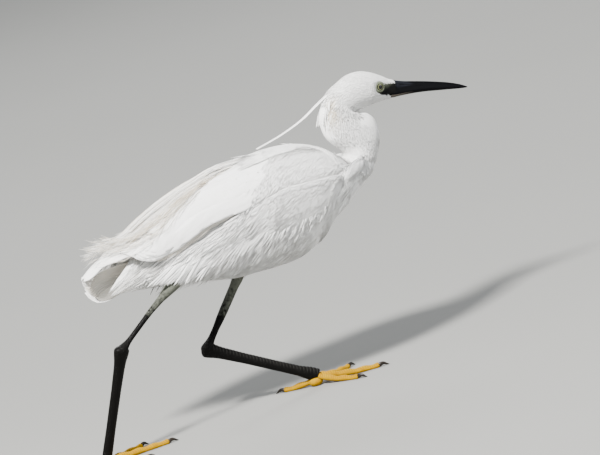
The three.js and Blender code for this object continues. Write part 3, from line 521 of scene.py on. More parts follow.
def ground_of(points, lie, size, lift, crowd, cream=0.03, mirrored=False):
    """A patch of skin to lay locks on: a grid of points, and for each the way that locks lie, their
    length, width and thickness, their lift in radians and their number on a square millimetre. A
    mirrored grid is turned round, so that its faces look outwards again."""
    rows, columns = points.shape[:2]
    lift, crowd, cream = (np.broadcast_to(value, (rows, columns)) for value in (lift, crowd, cream))
    if mirrored:
        points, lie, size, lift, crowd = (grid[:, ::-1] for grid in (points, lie, size, lift, crowd))
    r, c = np.meshgrid(np.arange(rows - 1), np.arange(columns - 1), indexing="ij")
    a = (r * columns + c).ravel()
    faces = np.stack([a, a + 1, a + columns + 1, a + columns], 1)
    along = np.gradient(points, axis=0)
    normal = unit(np.cross(np.gradient(points, axis=1), along))
    pace = np.maximum(np.linalg.norm(along, axis=-1), 0.3)
    turning = np.gradient(along / pace[..., None], axis=0)
    hollow = (turning * normal).sum(-1) / pace       # 1 / radius, above 0 where the ground is hollow
    blur = np.ones(EVENED_OVER) / EVENED_OVER
    for n in range(columns):                         # evened out, or the locks would lie in bands
        hollow[:, n] = np.convolve(np.pad(hollow[:, n], EVENED_OVER // 2, mode="edge"), blur, mode="valid")
    hollow = np.clip(hollow, MOST_ROUND, MOST_HOLLOW) / MM
    v, u = np.meshgrid(np.linspace(0.01, 0.98, columns), np.linspace(0.01, 0.98, rows))
    unwrap = np.stack([u, v, 0 * u], -1)
    return mesh_object("ground", points, faces, numbers={
        "lie": lie.reshape(-1, 3), "size": (size * MM).reshape(-1, 3), "lift": lift.ravel(),
        "crowd": crowd.ravel() / MM ** 2, "unwrap": unwrap.reshape(-1, 3), "hollow": hollow.ravel(),
        "cream": cream.ravel()})


FEATHER_WHITE = colour(0.93, 0.928, 0.915)
FEATHER_SHADE = colour(0.87, 0.868, 0.86)
FEATHER_CREAM = colour(0.76, 0.66, 0.48)
TONE_PATCHES, TONE_GRAIN = 18, 0.35      # size and strength of the lighter and darker patches

# The tone of white feathers: nearly even, each a little lighter or darker, with cream by a mask.
tone, toning, tone_in, tone_out = group("feather_tone", "ShaderNodeTree", {
    "Cream": "Float", "Shade": "Float", "Grain": "Float"}, "Color", "Color")
patches = toning("ShaderNodeTexNoise", Vector=toning("ShaderNodeTexCoord").outputs["Object"],
                 Scale=1 / (TONE_PATCHES * MM), Detail=4)
shading = worked(toning, "MULTIPLY_ADD", patches.outputs["Fac"], tone_in["Grain"], tone_in["Shade"],
                 use_clamp=True)
whites = toning("ShaderNodeMix", {"data_type": "RGBA"}, _0=shading, _6=FEATHER_WHITE, _7=FEATHER_SHADE)
creams = mix(toning, tone_in["Cream"], whites.outputs[2], FEATHER_CREAM)
tone.links.new(creams, tone_out["Color"])


def toned(node, cream, shade):
    made = node("ShaderNodeGroup", {"node_tree": tone}, Cream=cream, Shade=shade, Grain=TONE_GRAIN)
    return made.outputs["Color"]


# Soft feathers catch the light like the mass they lie on, not like single blades. Where a blade turns
# away from that mass, it keeps its own way.
LEAST_AGREED, AGREED = -0.15, 0.1      # below and above these a blade keeps its own way or takes the mass's
evened, evening, evened_in, evened_out = group("evened_way", "ShaderNodeTree", {"Share": "Float"},
                                               "Normal", "Vector")
blade_way = evening("ShaderNodeNewGeometry").outputs["Normal"]
mass_way = attribute(evening, "ground_way", "Vector")
agreed = evening("ShaderNodeVectorMath", {"operation": "DOT_PRODUCT"}, _0=blade_way, _1=mass_way)
trusted = evening("ShaderNodeMapRange", Value=agreed.outputs["Value"], From_Min=LEAST_AGREED,
                  From_Max=AGREED, To_Max=evened_in["Share"])
two_ways = evening("ShaderNodeMix", {"data_type": "VECTOR"}, _0=trusted.outputs[0], _4=blade_way,
                   _5=mass_way)
one_way = evening("ShaderNodeVectorMath", {"operation": "NORMALIZE"}, _0=two_ways.outputs[1])
evened.links.new(one_way.outputs[0], evened_out["Normal"])


def even_way(node, share):
    return node("ShaderNodeGroup", {"node_tree": evened}, Share=share).outputs["Normal"]


coat_look, node, shader = material("soft_body_feathers", 0.85, under=0.05)
uneven = worked(node, "MULTIPLY_ADD", attribute(node, "shade"), 1.6, 0.1)
streaky = worked(node, "MULTIPLY", attribute(node, "cream"), uneven)
lock_shade = worked(node, "MULTIPLY", attribute(node, "shade"), 0.3)
wire(shader, Base_Color=toned(node, streaky, lock_shade), Normal=even_way(node, 0.9))

# The coats of the skin, by its rings, with grids that run once round from the top.
COAT_RINGS = {"head": (0.0, 7.6), "neck": (7.3, 14.6), "breast": (14.2, 21.5), "flank": (21.0, 30)}
FACE_LENGTHS = ([-20, -8, 5, 25, 45], [1.6, 2.4, 4.0, 5.5, 8.0])      # behind the eyes: length of a lock
NECK_LENGTHS = ([7, 9, 15], [6.5, 8, 9])                              # the next ones by ring
BREAST_LENGTHS = ([14, 18, 22], [9, 14, 19])
BREAST_CROWDS = ([14, 18, 22], [0.9, 0.6, 0.42])
FLANK_LENGTHS = ([-112, -60], [12, 20])                               # by X
RUMP_END = ([-100, -94], [0.0, 1.0])
WING_ROOT_X = 113               # the wing covers the body behind this
coat_angles = np.linspace(0, 2 * np.pi, 73)


def skin_grid(coat, count, evened_rows=0):
    """A stretch of the skin as a grid: its rings, its degrees from the top, and its places."""
    u = np.linspace(*COAT_RINGS[coat], count)
    points = flesh(u, coat_angles)
    for _ in range(evened_rows):                  # feathers even out the folds of the skin
        points[1:-1] = (points[:-2] + 2 * points[1:-1] + points[2:]) / 4
    round_top = np.degrees(np.minimum(coat_angles, 2 * np.pi - coat_angles))
    ring, degrees = np.meshgrid(u, round_top, indexing="ij")
    return ring, degrees, points


def lay_on_skin(coat, grid, size, lift, crowd, seed, yaw=0.14, droop=0.0):
    """Covers a stretch of the skin. droop turns the locks down round the body."""
    ring, degrees, points = grid
    around = unit(np.gradient(points, axis=1)) * np.where(coat_angles < np.pi, 1.0, -1.0)[None, :, None]
    lie = unit(np.gradient(points, axis=0)) + np.broadcast_to(droop, ring.shape)[..., None] * around
    streaked = np.exp(-((ring - 8.2) / 1.1) ** 2 - ((degrees - 46) / 20) ** 2)      # behind the cheek
    ground = ground_of(points, lie, size, lift, crowd, 0.03 + 0.9 * streaked)
    lay_coat("coat_" + coat, ground, coat_look, seed, yaw=yaw)


def in_notch(ring, degrees):
    """1 in the notch between the nape and the shoulders, where the feathers are short."""
    return np.exp(-((ring - 13.4) / 1.6) ** 2) * np.clip((95 - degrees) / 35, 0, 1)


grid = ring, degrees, points = skin_grid("head", 70)
local = to_head(points.reshape(-1, 3)).reshape(points.shape)
bare = bare_face(points.reshape(-1, 3)).reshape(ring.shape)
length = np.interp(-local[..., 0], *FACE_LENGTHS)
width = 0.45 + 0.075 * length
lay_on_skin("head", grid, stack(length, width, 0.7), 0.09, (1 - bare) * 8.0 / (length * width), 11)

grid = ring, degrees, points = skin_grid("neck", 80, evened_rows=60)
notch = in_notch(ring, degrees)
throat = np.clip((9.2 - ring) / 1.2, 0, 1) * np.clip((degrees - 120) / 25, 0, 1)
length = np.interp(ring, *NECK_LENGTHS) * (1 - 0.6 * notch) * (1 - 0.6 * throat)
lift = 0.03 - 0.02 * notch - 0.09 * np.clip((ring - 13.4) / 0.8, 0, 1)
crowd = 1.4 + 1.9 * notch + 1.8 * throat
lay_on_skin("neck", grid, stack(length, 0.8, 0.4 - 0.1 * notch), lift, crowd, 12, yaw=0.06)

grid = ring, degrees, points = skin_grid("breast", 60)
notch = in_notch(ring, degrees)
short = np.maximum(notch, 0.6 * np.clip((75 - degrees) / 30, 0, 1) * (ring < 18))
size = stack(np.interp(ring, *BREAST_LENGTHS) * (1 - 0.66 * short), 1.4 - 0.4 * short, 0.9 - 0.4 * short)
hidden = np.interp(degrees, [35, 60], [0.25, 1]) ** (points[..., 0] < WING_ROOT_X)
crowd = np.interp(ring, *BREAST_CROWDS) * (1 + 2.2 * notch) * hidden
lay_on_skin("breast", grid, size, 0.035, crowd, 13, yaw=0.1, droop=0.4 * np.sin(np.radians(degrees)))

grid = ring, degrees, points = skin_grid("flank", 90)
x = points[..., 0]
under_wing = np.clip((x + 112) / 6, 0, 1) * np.clip((112 - x) / 6, 0, 1)
crowd = 0.36 * np.interp(x, *RUMP_END) * (1 - 0.9 * under_wing * (degrees > 15) * (degrees < 70))
lay_on_skin("flank", grid, stack(np.interp(x, *FLANK_LENGTHS), 1.4, 0.6), 0.04, crowd, 14, yaw=0.1,
            droop=np.interp(degrees, [60, 100, 150], [0.1, 0.5, 0.3]))

# Wings. Folded against the body, feather over feather: primaries and secondaries below, two rows of
# coverts over them, tertials and scapulars on top. Each feather is a thin cambered vane with a
# shaft, laid over the bed that the arm and hand bones make.
WING_BED = [                    # X, top, half width, level of the greatest width
    [124, 198, 25, 182], [116, 206, 33, 182], [100, 218.5, 41, 181], [75, 227, 45.8, 179],
    [40, 229.5, 47.6, 178], [0, 226.2, 46, 178], [-40, 219.3, 42.4, 177], [-75, 208.2, 35.5, 174],
    [-105, 195, 26.5, 170], [-130, 187.5, 17, 165], [-150, 177.5, 10.5, 160], [-170, 168, 6, 155],
]
# Lower edge of each folded wing: X, and degrees round the body from its top. The left wing hangs lower
# at its tip, so that its hollow inner side shows.
ARM_HEM = [[124, 78], [103, 76], [67, 74], [41, 72], [25, 72], [6, 74], [-8, 73], [-25, 73], [-36, 74]]
HEM = {
    RIGHT: ARM_HEM + [[-48, 77], [-65, 83], [-76, 84], [-86, 82], [-94, 74], [-101, 59], [-108, 50],
                      [-118, 48], [-135, 38], [-154, 52]],
    LEFT: ARM_HEM + [[-48, 78], [-65, 90], [-78, 102], [-92, 118], [-106, 134], [-122, 148], [-136, 146],
                     [-146, 118], [-154, 90]],
}
# Rows of feathers: number; X and degrees of the first and the last root; X of their tips; how far the
# tips keep above the hem; widths; height over the bed at the root and at the tip.
FEATHER_ROWS = {
    "primaries": (9, [-62, 60, -84, 42], [-110, -152], [5, 4], [11, 9], [-2.0, -0.6]),
    "secondaries": (17, [58, 60, -34, 62], [4, -98], [7, 6], [15, 15], [-2.0, 0.6]),
    "greater_coverts": (13, [88, 50, -8, 50], [46, -66], [15, 19], [14, 15], [-2.0, 1.3]),
    "median_coverts": (10, [98, 50, 16, 44], [70, -30], [18, 30], [12, 13], [-1.5, 1.9]),
    "tertials": (7, [6, 34, -34, 20], [-90, -112], [17, 5], [18, 18], [-2.4, 1.6]),
    "lower_scapulars": (9, [70, 36, 2, 22], [4, -84], [30, 30], [16, 18], [-2.4, 1.6]),
    "upper_scapulars": (8, [96, 30, 32, 16], [36, -56], [40, 40], [14, 17], [-2.4, 1.5]),
    "long_scapulars": (10, [44, 24, -36, 8], [-42, -130], [46, 34], [18, 15], [-2.4, 1.3]),
    "wing_tips": (10, [-80, 40, -96, 30], [-146, -153], [5, 20], [10, 8], [-1.4, -0.4]),
}
NEAREST_TOP = 5                 # degrees from the top that no feather's middle line passes
LAST_TIP = {RIGHT: -149.5, LEFT: -147}
# The inner feathers show below the white ones along the hem, with painted shade as their colour: X, and how
# much lower.
INNER_ROW = {"inner_feathers": (18, [30, 55, -70, 30], [-30, -147], [3, 5], [14, 9], [-2.6, -2.2])}
INNER_SHELF = ([-30, 10, 40, 62, 82, 96, 104, 150], [-6, -3, 2.5, 5.0, 4.0, 0.5, -3, -3])
NO_SHELF = ([0, 1], [0, 0])
TOP_SINK, TOP_REACH = 2.2, (8, 50)      # near the top the feathers sink under the mantle, by degrees
SHINGLE = 0.10                  # radians that each vane leans over the next
VANE_THICK = 0.3
QUILL_RISE, QUILL_HALF = 0.3, 0.12      # the shaft's ridge, its half width as a share of the vane's
BARB_SWEEP = 0.35               # how far the barbs sweep back at the edge, as a share of their length
RIPPLE = 0.12


def table_at(table, x):
    """Rows of a table at places along X, its first column, which falls from row to row."""
    table, x = np.asarray(table, float), np.atleast_1d(np.asarray(x, float))
    x = np.clip(x, table[-1, 0], table[0, 0])
    i = np.clip(np.searchsorted(-table[:, 0], -x, side="right") - 1, 0, len(table) - 2)
    span = table[i + 1, 0] - table[i, 0]

    def slope(k):
        low, high = table[np.maximum(k - 1, 0)], table[np.minimum(k + 1, len(table) - 1)]
        return (high - low) / (high[:, :1] - low[:, :1]) * span[:, None]

    a, b, p, q = table[i], table[i + 1], slope(i), slope(i + 1)
    f = ((x - table[i, 0]) / span)[:, None]
    return a + f * (p + f * (3 * (b - a) - 2 * p - q + f * (p + q - 2 * (b - a))))


def on_bed(side, x, degrees, lift):
    x, degrees, lift = (v.ravel() for v in np.broadcast_arrays(*map(np.atleast_1d, (x, degrees, lift))))
    row = table_at(WING_BED, x)
    angle = np.radians(degrees)
    return np.stack([x, side * (row[:, 2] + lift) * np.sin(angle),
                     row[:, 3] + (row[:, 1] - row[:, 3] + lift) * np.cos(angle)], 1)


def smooth(share):
    """Eases a share from 0 to 1 in and out."""
    return share * share * (3 - 2 * share)


class Feathers:
    """Gathers closed vanes and strands, and makes one mesh of them with their unwrap."""

    def __init__(self, cells):
        self.points, self.faces, self.along, self.aside, self.shade, self.places = [], [], [], [], [], []
        self.total, self.cell, self.cells = 0, 0, cells

    def keep(self, points, faces, along, aside, shade):
        """Adds points and faces, with their places along and across the feather, and gives them a
        square of the unwrap."""
        column, row = divmod(self.cell, self.cells)
        self.cell += 1
        self.points.append(points)
        self.faces += [[corner + self.total for corner in face] for face in faces]
        self.total += len(points)
        self.along.append(along)
        self.aside.append(aside)
        self.shade.append(np.broadcast_to(shade, (len(points),)))
        self.places.append(np.stack([(column + 0.05 + 0.9 * np.clip(along, 0, 1)) * (1 / self.cells),
                                     (row + 0.5 + 0.42 * np.clip(aside, -1, 1)) * (1 / self.cells)], 1))

    def vane(self, path, facing, width, shade, lean=0.0, camber=0.08, stations=18, columns=8, ragged=0.06,
             root=0.25, tip_from=0.78, thick=VANE_THICK, seed=0):
        """One feather. path(f) and facing(f) take shares of its length."""
        f = np.linspace(0, 1, stations + 1)
        t = np.linspace(-1, 1, columns + 1)
        spine, up = path(f), facing(f)
        way = unit(np.gradient(spine, axis=0))
        across = unit(np.cross(way, up))
        rise = np.cross(across, way)
        across, rise = (across * math.cos(lean) + rise * math.sin(lean),
                        rise * math.cos(lean) - across * math.sin(lean))
        swell = root + (1 - root) * np.sin(np.pi / 2 * np.clip(f / 0.4, 0, 1))
        tip = np.sqrt(np.clip(1 - (np.clip(f - tip_from, 0, 1) / (1 - tip_from)) ** 2, 0.012, 1))
        width = np.broadcast_to(width, f.shape)
        half = width / 2 * swell * tip
        rng = np.random.default_rng(seed)
        edge = 1 - ragged * rng.random((len(f), 2))
        reach = np.where(t[None] < 0, edge[:, :1], edge[:, 1:]) * t[None] * half[:, None]
        back = -BARB_SWEEP * np.abs(reach) * np.clip(f / 0.3, 0, 1)[:, None] * (tip[:, None] < 0.999)
        ripple = RIPPLE * np.sin(9 * f[:, None] + 5 * t[None] + 6 * rng.random())
        quill = QUILL_RISE * np.exp(-(t[None] / QUILL_HALF) ** 2)
        height = -camber * width[:, None] * t[None] ** 2 * swell[:, None] + quill + ripple
        upper = (spine[:, None] + across[:, None] * reach[..., None] + rise[:, None] * height[..., None]
                 + way[:, None] * back[..., None])
        thin = thick * (1 - 0.8 * t ** 4)[None, :, None] * (0.4 + 0.6 * tip)[:, None, None]
        under = upper - rise[:, None] * thin
        n, m = len(f), len(t)
        r, c = np.meshgrid(np.arange(n - 1), np.arange(m - 1), indexing="ij")
        a = (r * m + c).ravel()
        top = np.stack([a, a + m, a + m + 1, a + 1], 1)
        low = top[:, ::-1] + n * m
        rim = np.concatenate([np.arange(m - 1), np.arange(n - 1) * m + m - 1,
                              (n - 1) * m + np.arange(m - 1, 0, -1), np.arange(n - 1, 0, -1) * m])
        onward = np.roll(rim, -1)
        walls = np.stack([rim, onward, onward + n * m, rim + n * m], 1)
        faces = np.concatenate([top, low, walls]).tolist()
        self.keep(np.vstack([upper.reshape(-1, 3), under.reshape(-1, 3)]), faces,
                  np.tile(np.repeat(f, m), 2), np.tile(t, 2 * n), shade)

    def strands(self, paths, half, ups, shade, deep=0.7):
        """Many fine tapered strands at once: paths (n, stations, 3), half widths, and upward ways."""
        count, stations = paths.shape[:2]
        way = unit(np.gradient(paths, axis=1))
        across = unit(np.cross(way, ups))
        rise = np.cross(across, way)
        half = np.broadcast_to(half, (count, stations))[..., None]
        body = np.stack([paths - across * half, paths + across * half, paths + rise * half * deep], 2)
        body = body[:, :-1].reshape(count, -1, 3)
        points = np.concatenate([body, paths[:, -1:]], 1)
        faces = [[0, 1, 2]]
        last = 3 * (stations - 2)
        for a in range(0, last, 3):
            for m in range(3):
                n = (m + 1) % 3
                faces.append([a + n, a + m, a + m + 3, a + n + 3])
        faces += [[last + 1, last, last + 3], [last + 2, last + 1, last + 3], [last, last + 2, last + 3]]
        per = points.shape[1]
        f = np.linspace(0, 1, stations)
        along = np.concatenate([np.repeat(f[:-1], 3), [1.0]])
        aside = np.concatenate([np.tile([-1.0, 1.0, 0.0], stations - 1), [0.0]])
        every = [[k + per * i for k in face] for i in range(count) for face in faces]
        self.keep(points.reshape(-1, 3), every, np.tile(along, count), np.tile(aside, count),
                  np.repeat(shade, per) if np.ndim(shade) else shade)

    def piece(self, name, look):
        made = mesh_object(name, np.vstack(self.points), self.faces, [look], numbers={
            "along": np.concatenate(self.along), "aside": np.concatenate(self.aside),
            "shade": np.concatenate(self.shade)})
        layer = made.data.uv_layers.new(name="OFBake")
        corners = np.empty(len(made.data.loops), int)
        made.data.loops.foreach_get("vertex_index", corners)
        layer.data.foreach_set("uv", np.vstack(self.places)[corners].astype(np.float32).ravel())
        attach(made, "root")
        return made


vane_look, node, shader = material("wing_and_tail_vanes", 0.75, under=0.1)
wire(shader, Base_Color=toned(node, 0.04, worked(node, "MULTIPLY", attribute(node, "shade"), 0.5)),
     Normal=raised(node, spots(node, 0.9), 0.1))
# Painted shade: the inner feathers below the wing's hem and the tail in its hollow are beige-grey for the
# shade they lie in, each feather a little lighter or darker at random.
painted_shade_look, node, shader = material("painted_shade_vanes", 0.8, under=0.1)
wire(shader, Base_Color=ramp(node, attribute(node, "shade"), {0.0: colour(0.56, 0.52, 0.455),
                                                              1.0: colour(0.66, 0.63, 0.57)}))


def over_hem(side, x, above):
    """Degrees of a place on the wing that is `above` millimetres over its lower edge."""
    hem = table_at(HEM[side], x)[:, 1]
    return hem - np.degrees(above / np.maximum(table_at(WING_BED, x)[:, 2] + 4, 9))


def between(share, ends):
    return np.interp(share, [0, 1], ends)


def feather_rows(side, rows, cells, shelf=NO_SHELF):
    """The rows of feathers of one wing. shelf lowers them towards the hem: lists of -X and millimetres."""
    wing = Feathers(cells=cells)
    for row_name, (count, root, tip, above, widths, lifts) in rows.items():
        rng = np.random.default_rng(len(row_name))
        for k in range(count):
            share = k / (count - 1)
            start_x, start_degrees = between(share, root[0::2]), between(share, root[1::2])
            end_x = max(between(share, tip) + rng.normal(0, 1.2), LAST_TIP[side] - 2.5 * rng.random())
            tip_above = between(share, above) + rng.normal(0, 0.5)

            def places(f):
                x = start_x + (end_x - start_x) * f
                low = over_hem(side, x, tip_above - np.interp(-x, *shelf))
                settled = smooth(np.clip(f * 1.45, 0, 1))
                return x, np.maximum(NEAREST_TOP, start_degrees + (low - start_degrees) * settled)

            def path(f):
                x, degrees = places(f)
                clear = np.clip((degrees - TOP_REACH[0]) / (TOP_REACH[1] - TOP_REACH[0]), 0, 1)
                sink = TOP_SINK * (1 - smooth(clear))
                spread = 1.5 * np.clip((degrees - 85) / 40, 0, 1) * np.clip((-x - 80) / 30, 0, 1)
                return on_bed(side, x, degrees, between(np.minimum(1, f * 1.8), lifts) - sink + spread)

            def facing(f):
                x, degrees = places(f)
                return unit(on_bed(side, x, degrees, 1) - on_bed(side, x, degrees, 0))

            wing.vane(path, facing, between(share, widths), rng.random(), lean=-SHINGLE * side,
                      camber=0.05, stations=22, ragged=0.03, tip_from=0.84, seed=k + 31 * len(row_name))
    return wing


for word, side in SIDES.items():
    wing_piece = feather_rows(side, FEATHER_ROWS, 10).piece(f"wing_{word}_feathers", vane_look)
    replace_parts(wing_piece, f"wing_{word}")
    feather_rows(side, INNER_ROW, 5, INNER_SHELF).piece(f"wing_{word}_inner_feathers", painted_shade_look)

# Wing coverts. The smallest feathers of the wing, at its bend and along the forearm, laid as soft
# locks over the roots of the larger ones.
COVERT_UPPER = ([0, 26, 44, 56], [60, 44, 26, 18])      # X: degrees of their upper edge
COVERT_LIFT = ([2, 24, 46, 60, 118], [-1.6, 0.8, 2.6, 2.8, 1.4])
COVERT_GROOVE = ([18, 40, 112], [0, 3.6, 3.6])          # they roll in over the edge of the breast side
COVERT_LENGTH = ([-14, 20, 118], [18, 15, 9])
COVERT_CROWD = ([2, 20, 44], [0.02, 0.25, 0.8])
covert_look, node, shader = material("wing_covert_feathers", 0.82, under=0.05)
wire(shader, Base_Color=toned(node, 0.02, worked(node, "MULTIPLY", attribute(node, "shade"), 0.25)),
     Normal=even_way(node, 0.92))


def bed_ground(side, x, degrees, lift, size, droop, lean, crowd):
    """Ground for locks on the wing's bed, from grids of X and degrees. droop turns the locks down."""
    points = on_bed(side, x, degrees, lift).reshape(*x.shape, 3)
    ahead = on_bed(side, x - 2, degrees + 2 * droop, lift).reshape(*x.shape, 3)
    return ground_of(points, unit(ahead - points), size, lean, crowd, mirrored=side == RIGHT)


def rows_along(first, last, rows, columns):
    """A grid of X, the same in each row."""
    return np.repeat(np.linspace(first, last, rows)[:, None], columns, 1)


for word, side in SIDES.items():
    x = rows_along(122, 2, 60, 24)
    share = np.linspace(0, 1, 24)[None]
    low = over_hem(side, x.ravel(), 2.0).reshape(x.shape)
    high = np.interp(x, *COVERT_UPPER)
    near = np.clip((share - 0.78) / 0.22, 0, 1)
    lift = np.interp(x, *COVERT_LIFT) * np.minimum(1, share / 0.4) ** 0.6
    lift = lift - np.interp(x, *COVERT_GROOVE) * near ** 2
    lift = lift - np.interp(x, [26, 50], [1.0, 2.4]) * np.clip(1 - share / 0.14, 0, 1)
    crowd = np.interp(x, *COVERT_CROWD) * np.interp(share, [0, 0.25], [0.15, 1]) ** (x < 40)
    crowd = crowd * np.interp(share, [0.8, 0.95], [1, 0]) ** (x < 34)
    size = stack(np.interp(x, *COVERT_LENGTH), 1.5, 0.4)
    ground = bed_ground(side, x, high + (low - high) * share, lift, size, 0.9, 0.01, crowd)
    lay_coat(f"coat_wing_{word}", ground, covert_look, 21 + side, yaw=0.05)

# Mantle. The loose feathers between the shoulders lie over the top of both wings and end in a soft
# ledge that sweeps down round the shoulder to the root of the neck.
MANTLE_EDGE = [[114, 66], [109, 57], [104.5, 36], [97, 20], [84, 23], [69, 26], [55, 26], [44, 27], [20, 29],
               [-16, 26]]       # X, and degrees of the ledge
MANTLE_RISE = ([0, 12, 26, 60], [-2.6, -2.2, -1.2, -0.6])           # height over the bed, by degrees
MANTLE_LEDGE = ([-14, 20, 44, 60, 114], [0.6, 0.9, 1.8, 3.2, 3.0])  # height of the ledge, and the rest, by X
MANTLE_LENGTH = ([-14, 60, 114], [22, 17, 9])
MANTLE_CROWD = ([-14, 10, 60, 80, 114], [0.3, 0.6, 0.7, 0.7, 1.2])
SHOULDER_X = 44                 # in front of this the middle is low and its feathers short
BED_RADIUS = 46                 # about, for distances round it
for word, side in SIDES.items():
    x = rows_along(114, -14, 90, 30)
    share = np.sin(np.linspace(0, 1, 30) * np.pi / 2)[None]
    edge = table_at(MANTLE_EDGE, x[:, 0])[:, 1:2]
    degrees = edge * share - 2 * (1 - share)
    on_ledge = np.clip((edge - degrees) * np.radians(1) * BED_RADIUS / 1.2, 0, 1)
    over_top = np.interp(degrees, *MANTLE_RISE) + np.interp(x, [8, 36, 56], [0.0, 1.2, 0.0])
    over_top = over_top - 0.7 * np.clip(1 - degrees / 9, 0, 1) * (x > SHOULDER_X)
    lift = over_top + np.interp(x, *MANTLE_LEDGE) * np.sqrt(on_ledge) - 1.6 * (1 - on_ledge)
    length = np.interp(x, *MANTLE_LENGTH) * (1 - 0.5 * np.clip(1 - degrees / 12, 0, 1) * (x > SHOULDER_X))
    size = stack(length * np.interp(x, [88, 104], [1, 0.6]), 1.5, 0.45)
    ground = bed_ground(side, x, degrees, lift, size, 0.12, 0.02, np.interp(x, *MANTLE_CROWD))
    lay_coat(f"coat_mantle_{word}", ground, covert_look, 41 + side, yaw=0.05)

# Breast sides. A soft mass of long feathers on each side of the breast rolls over the wing's bend and
# its lower edge, and covers the thigh behind.
BREAST_SIDE = [[113, 84], [108, 77.5], [103, 75], [85, 73], [67, 71], [48, 69.5], [36, 71.5], [20, 73.5],
               [4, 76.5], [-14, 81]]      # X, and degrees of its upper edge on the wing's bed
ROLL, ROLL_SUNK = 0.12, 2.6     # share of its depth that turns in under its upper edge, and how deep
ROLL_HEIGHT = ([-12, 8, 24, 36, 80, 102, 112], [-2.4, -1.8, 0.4, 4.6, 5.4, 4.2, 0.0])   # and the rest, by X
LOWER_EDGE_X = ([-12, 60, 112], [-14, 50, 88])
BREAST_SLANT = ([-12, 60, 112], [0.35, 0.6, 1.0])
SIDE_LENGTH = ([-12, 60, 112], [20, 15, 10])
SIDE_CROWD = ([-12, 0, 60, 112], [0.3, 0.6, 0.8, 1.1])
BED_LOW, BODY_HIGH, BODY_LOW = 118, 66, 128      # degrees it spans on the wing's bed and on the body


def on_body(x, degrees, lift, side):
    """Places on the body's outline: degrees round from the top, with a lift over the skin."""
    x, degrees, lift = (v.ravel() for v in np.broadcast_arrays(*(np.atleast_1d(v).astype(float)
                                                                  for v in (x, degrees, lift))))
    trail = np.linspace(19, 30, 400)
    u = np.interp(-x, -spline(FLESH_ROWS, trail)[:, 0], trail)
    rows = spline(FLESH_ROWS, u)
    angle = np.radians(degrees)
    top, low, half = rows[:, 2], rows[:, 5], rows[:, 6]
    c = np.cos(angle)
    depth = by_ring(COAT_DEPTH, u) - lift
    top, low = top - depth, low + depth
    down = np.where(c > 0, rows[:, 7] * (1 - c), rows[:, 7] - (1 - rows[:, 7]) * c)
    out = (half - depth) * np.sin(angle) * (1 - rows[:, 8] * np.maximum(0, c))
    return np.stack([x, side * out, top - (top - low) * down], 1)


def ways_of(points):
    """The ways back and down along a grid."""
    return unit(np.gradient(points, axis=0)), unit(np.gradient(points, axis=1))


for word, side in SIDES.items():
    x = rows_along(112, -12, 90, 46)
    roll = np.linspace(-ROLL, 1, 46)[None]
    shown = np.clip(roll, 0, 1)
    edge = table_at(BREAST_SIDE, x[:, 0])[:, 1:2]
    crest = np.where(roll < 0, 1 - (roll / ROLL) ** 2, 1)
    degrees = edge + (BED_LOW - edge) * shown + 2.4 * np.minimum(roll, 0) / ROLL
    over = np.interp(x, *ROLL_HEIGHT) * crest - ROLL_SUNK * (1 - crest)
    upper = on_bed(side, x, degrees, over).reshape(*x.shape, 3)
    body_degrees = BODY_HIGH + (BODY_LOW - BODY_HIGH) * shown
    lower = on_body(np.interp(x, *LOWER_EDGE_X), body_degrees, 0.4, side).reshape(*x.shape, 3)
    points = upper + (lower - upper) * smooth(shown)[..., None]
    back, down = ways_of(points)
    slant = np.interp(x, *BREAST_SLANT)[..., None]
    lie = unit(back + slant * down * np.where(roll < 0, 0.2, 1.0)[..., None])
    length = np.interp(x, *SIDE_LENGTH) * np.interp(roll, [-ROLL, 0.02, 0.2], [0.3, 0.45, 1.0])
    crowd = np.interp(x, *SIDE_CROWD) * np.interp(roll, [-0.05, 0.15], [1.6, 1.0])
    ground = ground_of(points, lie, stack(length, 1.4, 0.45), 0.02, crowd, mirrored=side == RIGHT)
    lay_coat(f"coat_breast_side_{word}", ground, coat_look, 51 + side, yaw=0.08)

# Flank fringe. Long soft feathers that hang from the lower flank over the belly, in loose points.
FRINGE_EDGE = [[96, 104], [71, 112], [58, 118], [24, 124], [-12, 131], [-49, 139], [-66, 143]]   # X, degrees
FRINGE_LENGTH = ([-66, 20, 96], [28, 23, 15])
FRINGE_CROWD = 0.26
for word, side in SIDES.items():
    x = rows_along(96, -66, 70, 12)
    degrees = table_at(FRINGE_EDGE, x[:, 0])[:, 1:2] - np.linspace(34, 9, 12)[None]
    points = on_body(x, degrees, 1.4, side).reshape(*x.shape, 3)
    back, down = ways_of(points)
    size = stack(np.interp(x, *FRINGE_LENGTH), 1.15, 0.5)
    ground = ground_of(points, unit(back + 0.62 * down), size, 0.05, FRINGE_CROWD, mirrored=side == RIGHT)
    lay_coat(f"flank_fringe_{word}", ground, coat_look, 61 + side, yaw=0.12, spread_of_size=0.35)

# Tail. Twelve short soft feathers in a close fan that hangs down to the left between the tips of the
# wings, with the long loose coverts that cover it from below.
TAIL = {"pairs": 6, "root_x": -92, "tip_x": -145, "level": 164, "spread": 14, "tilt": 62, "width": 13}
tail_fan = Feathers(cells=5)
for k in range(-TAIL["pairs"], TAIL["pairs"]):
    share = (k + 0.5) / TAIL["pairs"]

    def path(f):
        reach = share * TAIL["spread"] * (0.6 + 0.4 * f)
        turned = math.radians(TAIL["tilt"])
        aside = 2.5 + 2.5 * f + reach * math.cos(turned) - 0.15 * k - 3.0 * share ** 2
        level = TAIL["level"] - 3.0 * f - reach * math.sin(turned)
        x = TAIL["root_x"] + (TAIL["tip_x"] + 6 * share ** 2 - TAIL["root_x"]) * f
        return np.stack([x, aside, level], 1)

    def facing(f):
        turned = math.radians(TAIL["tilt"] + 14 * share)
        return np.tile([0.0, math.sin(turned), math.cos(turned)], (len(f), 1))

    tail_fan.vane(path, facing, TAIL["width"], 0.2 + 0.05 * (k + 6), camber=0.04, seed=50 + k + 6)
# The tail's feathers take the painted shade colour of the hollow between the wing tips.
tail_piece = tail_fan.piece("tail_feathers", painted_shade_look)
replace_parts(tail_piece, "tail")

